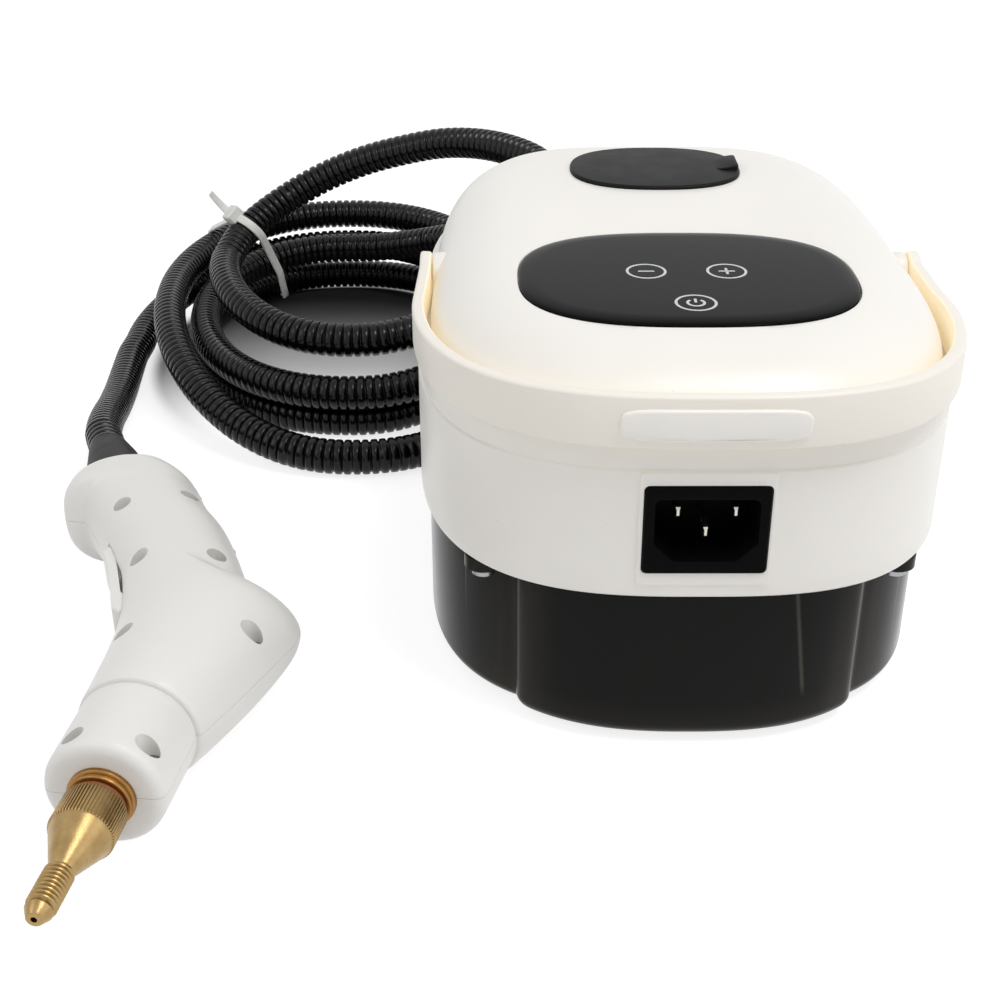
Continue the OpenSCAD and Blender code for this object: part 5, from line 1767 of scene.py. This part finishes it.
@dataclass(frozen=True)
class Inlet:
    """The mains inlet: black flange, cut cavity and three contacts."""

    place = stand((0, -104.6, 68.5), 90)
    face: tuple = (15.4, 12)
    rear: tuple = (13.5, 9.4)
    cavity: tuple = ((-7.6, -8.4), (7.6, -8.4), (12.5, -3.5), (12.5, 8.4), (-12.5, 8.4), (-12.5, -3.5))
    cavity_r: tuple = (0.8, 0.8, 0.8, 1.4, 1.4, 0.8)
    depth: float = 16.0
    flange: float = 3.0
    length: float = 20.6
    contacts: tuple = ((-7, 4.3), (7, 4.3), (0, -1.2))
    contact: tuple = (0.7, 1.6)
    sharp: float = 38.0
    contact_rows: tuple = ((0.45, -1.65), (0.85, -2.2), (1.0, -3.4), (1.0, -24.6))

    def build(self) -> None:
        """Makes the socket and its contacts."""
        angle = np.linspace(0, math.tau, 144, endpoint=False)
        outer, back = np.array(self.face), np.array(self.rear)
        face = by_angle(plate(-outer, outer, 1.3, 8), angle)
        hole = by_angle(rounded(self.cavity, self.cavity_r, True, 8), angle)
        back = by_angle(plate(-back, back, 0.8, 8), angle)
        deep, flange, long = self.depth, self.flange, self.length
        rows = [
            (hole * 0.02, -deep), (hole * 0.985, -deep), (hole, 0.3 - deep), (hole, -0.5),
            (shrink(hole, -0.25), -0.12), (shrink(hole, -0.6), -0.03), (shrink(face, 1.0), -0.03),
            (shrink(face, 0.35), -0.15), (face, -0.7), (face, -flange), (back, -flange), (back, -long),
        ]
        form, pins = Form(), Form()
        form.loft([lift(flat, z) for flat, z in rows], self.place)
        item = form.build("inlet_body", Paint.BLACK_PLASTIC, sharp=self.sharp)
        show(item, Body.MACHINE, Slot.BLACK_PLASTIC, "inlet_socket")
        half = np.array(self.contact)
        for middle in np.array(self.contacts):
            flat = plate(middle - half, middle + half, 0.25)
            rings = [lift(middle + (flat - middle) * share, z) for share, z in self.contact_rows]
            pins.loft(rings, self.place)
        show(pins.build("inlet_blades", Paint.CONTACT), Body.MACHINE, Slot.CONTACT, "inlet_pins")


def by_angle(loop: Array, angle: Array) -> Array:
    """Cuts a loop by rays.

    Args:
        loop: A closed line round the origin.
        angle: The angles of the rays.

    Returns:
        Where the rays meet the line.
    """
    p = np.vstack([loop, loop[:1]])
    dense = np.vstack([np.linspace(a, b, 60, endpoint=False) for a, b in zip(p[:-1], p[1:])])
    at = np.mod(np.arctan2(dense[:, 1], dense[:, 0]), math.tau)
    order = np.argsort(at)
    far = np.linalg.norm(dense, axis=1)[order]
    reach = np.interp(angle, at[order], far, period=math.tau)
    return np.stack([np.cos(angle), np.sin(angle)], axis=-1) * reach[:, None]


@dataclass(frozen=True)
class Gun:
    """The two shells of the steam gun, drawn flat about their parting plane."""

    place = stand((-143.6, -141.4, 18.0), -6.3, "Z")
    half: float = 18.0
    sides: int = 96
    collar: tuple = (((15, 0), (-15, 0), 15 / 18, 2, 2), ((15.3, 25), (-15.3, 25), 15.3 / 18, 2, 2))
    grip: tuple = (
        ((16.3, 25.3), (-16, 25.3), 0.89, 2, 2), ((20.0, 36), (-16.5, 36), 0.93, 2.05, 2.1),
        ((24.1, 48.8), (-17.4, 49), 0.97, 2.1, 2.15), ((28.4, 63), (-19.2, 62), 1, 2.1, 2),
        ((30.2, 71), (-21.5, 72), 0.99, 2.15, 1.85), ((28.4, 77), (-24.5, 81), 0.94, 2.2, 1.7),
        ((21.6, 80), (-28, 90), 0.89, 2.25, 1.6), ((13.8, 83.5), (-31.5, 96.5), 0.88, 2.3, 1.7),
        ((8, 97), (-36, 104.5), 0.88, 2.4, 2.2), ((-1.6, 115.6), (-42, 113.5), 0.89, 2.5, 2.3),
        ((-10, 127.2), (-48, 122), 0.9, 2.6, 2.3), ((-15, 135.2), (-52.5, 128.2), 0.91, 2.7, 2.3),
        ((-16, 137), (-54.2, 129.6), 0.915, 2.8, 2.3), ((-16.6, 138.4), (-56.2, 129.7), 0.92, 2.8, 2.3),
        ((-17.2, 139.6), (-59.2, 129.8), 0.935, 2.8, 2.3), ((-18, 141), (-61, 131.6), 0.945, 2.8, 2.3),
        ((-19.4, 143.2), (-61.7, 135.2), 0.95, 2.8, 2.3), ((-21.4, 145.8), (-61.3, 139.4), 0.95, 2.8, 2.3),
        ((-24.6, 148.4), (-59, 143), 0.93, 2.7, 2.3), ((-28.8, 150.5), (-55, 145.8), 0.87, 2.6, 2.4),
        ((-34, 151.5), (-50, 147.5), 0.67, 2.4, 2.4),
    )
    nose: tuple = ((3.2, 0.0), (2.2, 0.12), (1.2, 0.5), (0.4, 1.2), (0.05, 2.2))
    groove: tuple = ((0.0, -0.5), (0.25, -0.1), (0.7, 0.0), (0.7, 0.3))
    shells: tuple = (("gun_top_half", "gun_upper_shell", 1), ("gun_bottom_half", "gun_lower_shell", -1))
    screws: tuple = (
        (10.2, 6.2), (-7.6, 5.4), (21.6, 56.6), (-11.2, 50.4), (1.6, 92.6), (-20.4, 89.2), (-17.0, 127.0),
        (-35.0, 117.0),
    )
    screw_hole: tuple = ((0, 5), (2.7, 5), (2.9, 40), (0, 40))
    window: tuple = ((-60, 69.5), (-17, 69.5), (-17, 79), (-31, 107), (-60, 107))
    window_half: float = 6.3
    far: float = 40.0
    overlap: float = 0.06

    @classmethod
    def at(cls, flat: Sequence[float]) -> Array:
        """Returns the place of a point of the parting plane."""
        return np.array(cls.place @ Vector((flat[0], flat[1], 0.0)))

    @classmethod
    def station(cls, row: Array, inset: float, push: float = 0.0) -> Array:
        """Returns one section of the outer form.

        Args:
            row: Both edges, the share of the half thickness and the squareness left and right.
            inset: How far the section lies inside.
            push: Shift along the gun.

        Returns:
            The ring.
        """
        right, left, share = row[0:2], row[2:4], row[4]
        mid, arm = (right + left) / 2 + (0, push), (right - left) / 2
        width = np.linalg.norm(arm)
        t = np.linspace(0, math.tau, cls.sides, endpoint=False)
        c, s = np.cos(t), np.sin(t)
        power = np.where(c > 0, row[6], row[5])
        u = (width - inset) * np.sign(c) * np.abs(c) ** (2 / power)
        z = (share * cls.half - inset) * np.sign(s) * np.abs(s) ** (2 / power)
        return np.column_stack([mid + arm / width * u[:, None], z])

    @classmethod
    def rows(cls, stations: Sequence, steps: int) -> Array:
        """Draws rows between stations.

        Args:
            stations: The chosen stations.
            steps: Rows for each of them.

        Returns:
            Smooth rows from the first to the last.
        """
        p = np.array([(*a, *b, *rest) for a, b, *rest in stations], float)
        q = np.vstack([2 * p[0] - p[1], p, 2 * p[-1] - p[-2]])
        out = [bend(q, i, steps) for i in range(len(p) - 1)]
        return np.vstack([*out, p[-1:]])

    @classmethod
    def skin(cls) -> list[Array]:
        """Makes the whole outer form.

        Returns:
            Its rings from the nozzle to the hose.
        """
        collar = cls.rows(cls.collar, 12)
        rings = [cls.station(collar[0], d, p) for d, p in cls.nose]
        rings += [cls.station(r, 0.0) for r in collar[2:-1]]
        rings += [cls.station(collar[-1], d, p) for d, p in cls.groove]
        grip = cls.rows(cls.grip, 6)
        rings += [cls.station(grip[0], 0.5, 0.1), cls.station(grip[0], 0.12, 0.35)]
        rings += [cls.station(r, 0.0) for r in grip[1:]]
        return rings

    @classmethod
    def build(cls) -> None:
        """Makes both shells."""
        for name, node, up in cls.shells:
            form, cut, tools = Form(), Form(), Form()
            form.loft(cls.skin())
            item = form.build(name, Paint.GUN, sharp=CURVED_EDGE)
            low, high = (-cls.far, cls.overlap) if up > 0 else (-cls.overlap, cls.far)
            cut.loft(block((-3 * cls.far, -cls.far, low), (2 * cls.far, 5 * cls.far, high)))
            carve(item, cut, sharp=CURVED_EDGE)
            flat = np.array(cls.window, float)[::up]
            tools.loft([lift(flat, -cls.window_half), lift(flat, cls.window_half)])
            for x, y in cls.screws if up > 0 else ():
                tools.turn(cls.screw_hole, SMALL_SIDES, stand((x, y, 0)))
            carve(item, tools, sharp=CURVED_EDGE)
            # The place is in millimetres, the mesh in metres.
            for step in (Matrix.Scale(1 / MM, 4), cls.place, Matrix.Scale(MM, 4)):
                item.data.transform(step)
            show(item, Body.MACHINE, Slot.HOUSING, node)


@dataclass(frozen=True)
class Trigger:
    """The trigger of the gun."""

    outline: tuple = (
        (-16.9, 71.2), (-21.0, 70.9), (-23.2, 71.8), (-25.0, 76.0), (-27.9, 84.0), (-31.9, 93.0),
        (-36.9, 102.0), (-37.9, 104.8), (-35.2, 105.8), (-31.7, 98.7), (-27.2, 88.7), (-23.2, 79.7),
        (-16.9, 77.0),
    )
    half: float = 6.0
    edge: tuple = ((0.7, 0.0), (0.15, 0.35), (0.0, 1.0))
    sharp: float = 45.0

    @classmethod
    def build(cls) -> None:
        """Makes the trigger."""
        flat = rounded(cls.outline, 1.2, True, 3)
        form = Form()
        rows = [(d, z - cls.half) for d, z in cls.edge]
        rows += [(d, -z) for d, z in rows[::-1]]
        form.loft([lift(shrink(flat, d), z) for d, z in rows], Gun.place)
        show(form.build("gun_trigger", Paint.GUN, sharp=cls.sharp), Body.TRIGGER, Slot.HOUSING, "trigger")


@dataclass(frozen=True)
class Boot:
    """The black strain relief boot."""

    base: tuple = (-46.9, 147.8)
    way: tuple = (-0.468, 0.884)
    length: float = 38.0
    profile: tuple = (
        (3.3, -8), (8, -8), (8, 0), (12, 0), (12, 3), (10.5, 12.7), (9, 25.3), (7.3, 35), (6.8, 38), (3.3, 38),
    )
    radii: tuple = (0, 0.5, 0, 0.8, 3.0, 8.0, 8.0, 5.0, 0.8, 0)

    @classmethod
    def along(cls, reach: float) -> tuple[float, float]:
        """Returns a point on the boot's axis."""
        return cls.base[0] + reach * cls.way[0], cls.base[1] + reach * cls.way[1]

    @classmethod
    def build(cls) -> None:
        """Makes the boot."""
        way = Matrix.Rotation(math.atan2(cls.way[1], cls.way[0]), 4, "Z")
        place = Gun.place @ Matrix.Translation((*cls.base, 0)) @ way @ Matrix.Rotation(math.pi / 2, 4, "Y")
        form = Form()
        form.turn(rounded(cls.profile, cls.radii, steps=6), 64, place, loop=True)
        show(form.build("hose_boot", Paint.BLACK_RUBBER), Body.MACHINE, Slot.BLACK_RUBBER, "strain_boot")


@dataclass(frozen=True)
class Nozzle:
    """The brass nozzle: socket ring, seal, knurled nut, cone, threaded stub and tip."""

    sides: int = 72
    socket: tuple = (
        (1.8, -3), (7.9, -3), (8.1, -2.2), (7.5, -1.9), (7.5, -1.5), (8.4, -1.2), (8.4, 0), (5.5, 0), (5.5, 28),
        (1.8, 28),
    )
    socket_r: tuple = (0, 0.35, 0.2, 0.1, 0.1, 0.3, 0.2, 0, 0.3, 0)
    seal: tuple = ((3.3, -4.55), (7.2, -4.55), (7.2, -3.05), (3.3, -3.05))
    tip: tuple = (
        (0.75, -40.6), (1.9, -40.6), (3.3, -38.0), (2.95, -37.2), (2.95, -25.7), (7.35, -14.9), (7.6, -14.2),
        (7.6, -5.0), (7.0, -4.6), (3.2, -4.6), (3.2, 10), (0.75, 10),
    )
    tip_r: tuple = (0.1, 0.4, 0.3, 0.1, 0.3, 0.6, 0.2, 0.2, 0.2, 0, 0.2, 0)
    knurls: int = 60
    knurl: tuple = ((7.2, -0.33), (7.95, -0.2), (7.95, 0.2), (7.2, 0.33))
    knurl_r: float = 7.9
    knurl_w: float = 1.5
    knurl_rows: tuple = ((0.3, -14.3), (0.0, -13.9), (0.0, -5.3), (0.3, -4.9))
    threads: int = 9
    thread_pitch: float = 1.2
    thread: tuple = (
        (2.7, -37.1), (2.95, -37.1), (3.5, -36.75), (3.6, -36.5), (3.5, -36.25), (2.95, -35.9), (2.7, -35.9),
    )

    @classmethod
    def place(cls) -> Matrix:
        """Returns the frame whose Z runs back along the gun from its face."""
        return Gun.place @ Matrix.Rotation(math.radians(-90), 4, "X")

    @classmethod
    def build(cls) -> None:
        """Makes the nozzle's pieces."""
        ring, seal, tip = Form(), Form(), Form()
        ring.turn(rounded(cls.socket, cls.socket_r, steps=3), cls.sides, cls.place(), loop=True)
        show(ring.build("brass_socket", Paint.COPPER), Body.MACHINE, Slot.BRASS, "nozzle_socket")
        seal.turn(rounded(cls.seal, 0.7, True), cls.sides, cls.place(), loop=True)
        show(seal.build("seal_ring", Paint.SEAL), Body.MACHINE, Slot.SEAL, "nozzle_oring")
        tip.turn(rounded(cls.tip, cls.tip_r, steps=3), cls.sides, cls.place(), loop=True)
        ridge = Form()
        flat = rounded(cls.knurl, 0.1, True, 2)
        ridge.loft([lift(flat * (1 - d / cls.knurl_r, 1 - d / cls.knurl_w), z) for d, z in cls.knurl_rows])
        cls.repeat(tip, ridge, Repeat(cls.knurls, math.tau / cls.knurls))
        ridge = Form()
        ridge.turn(cls.thread, SIDES)
        cls.repeat(tip, ridge, Repeat(cls.threads, 0.0, (0.0, 0.0, cls.thread_pitch)))
        show(tip.build("brass_nozzle", Paint.BRASS), Body.MACHINE, Slot.BRASS, "nozzle")

    @classmethod
    def repeat(cls, form: Form, ridge: Form, pattern: Repeat) -> None:
        """Adds copies of a ridge."""
        copies = pattern.apply(ridge.build("ridge"), Paint.BRASS)
        form.add(copies.points[0], copies.faces, cls.place())


def dress_cad() -> None:
    """Gives every CAD node that stays its finish."""
    slots = {part["node"]: Slot(part["material_slot"]) for part in frame["record"]["subparts"]}
    for name, node in frame["nodes"].items():
        node.data.materials.clear()
        node.data.materials.append(Paint[slots[name].name].material())


def main() -> None:
    """Builds the scene."""
    logging.basicConfig(level=logging.INFO, format="%(relativeCreated)d %(message)s")
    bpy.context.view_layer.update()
    dress_cad()
    Studio().build()
    Hose.build()
    for kind in (Housing, Cover, Panel, FillCover, Handle, Tank, Inlet, Gun, Trigger, Boot, Nozzle):
        kind().build()
        log.info("built %s", kind.__name__)


if __name__ == "__main__":
    main()
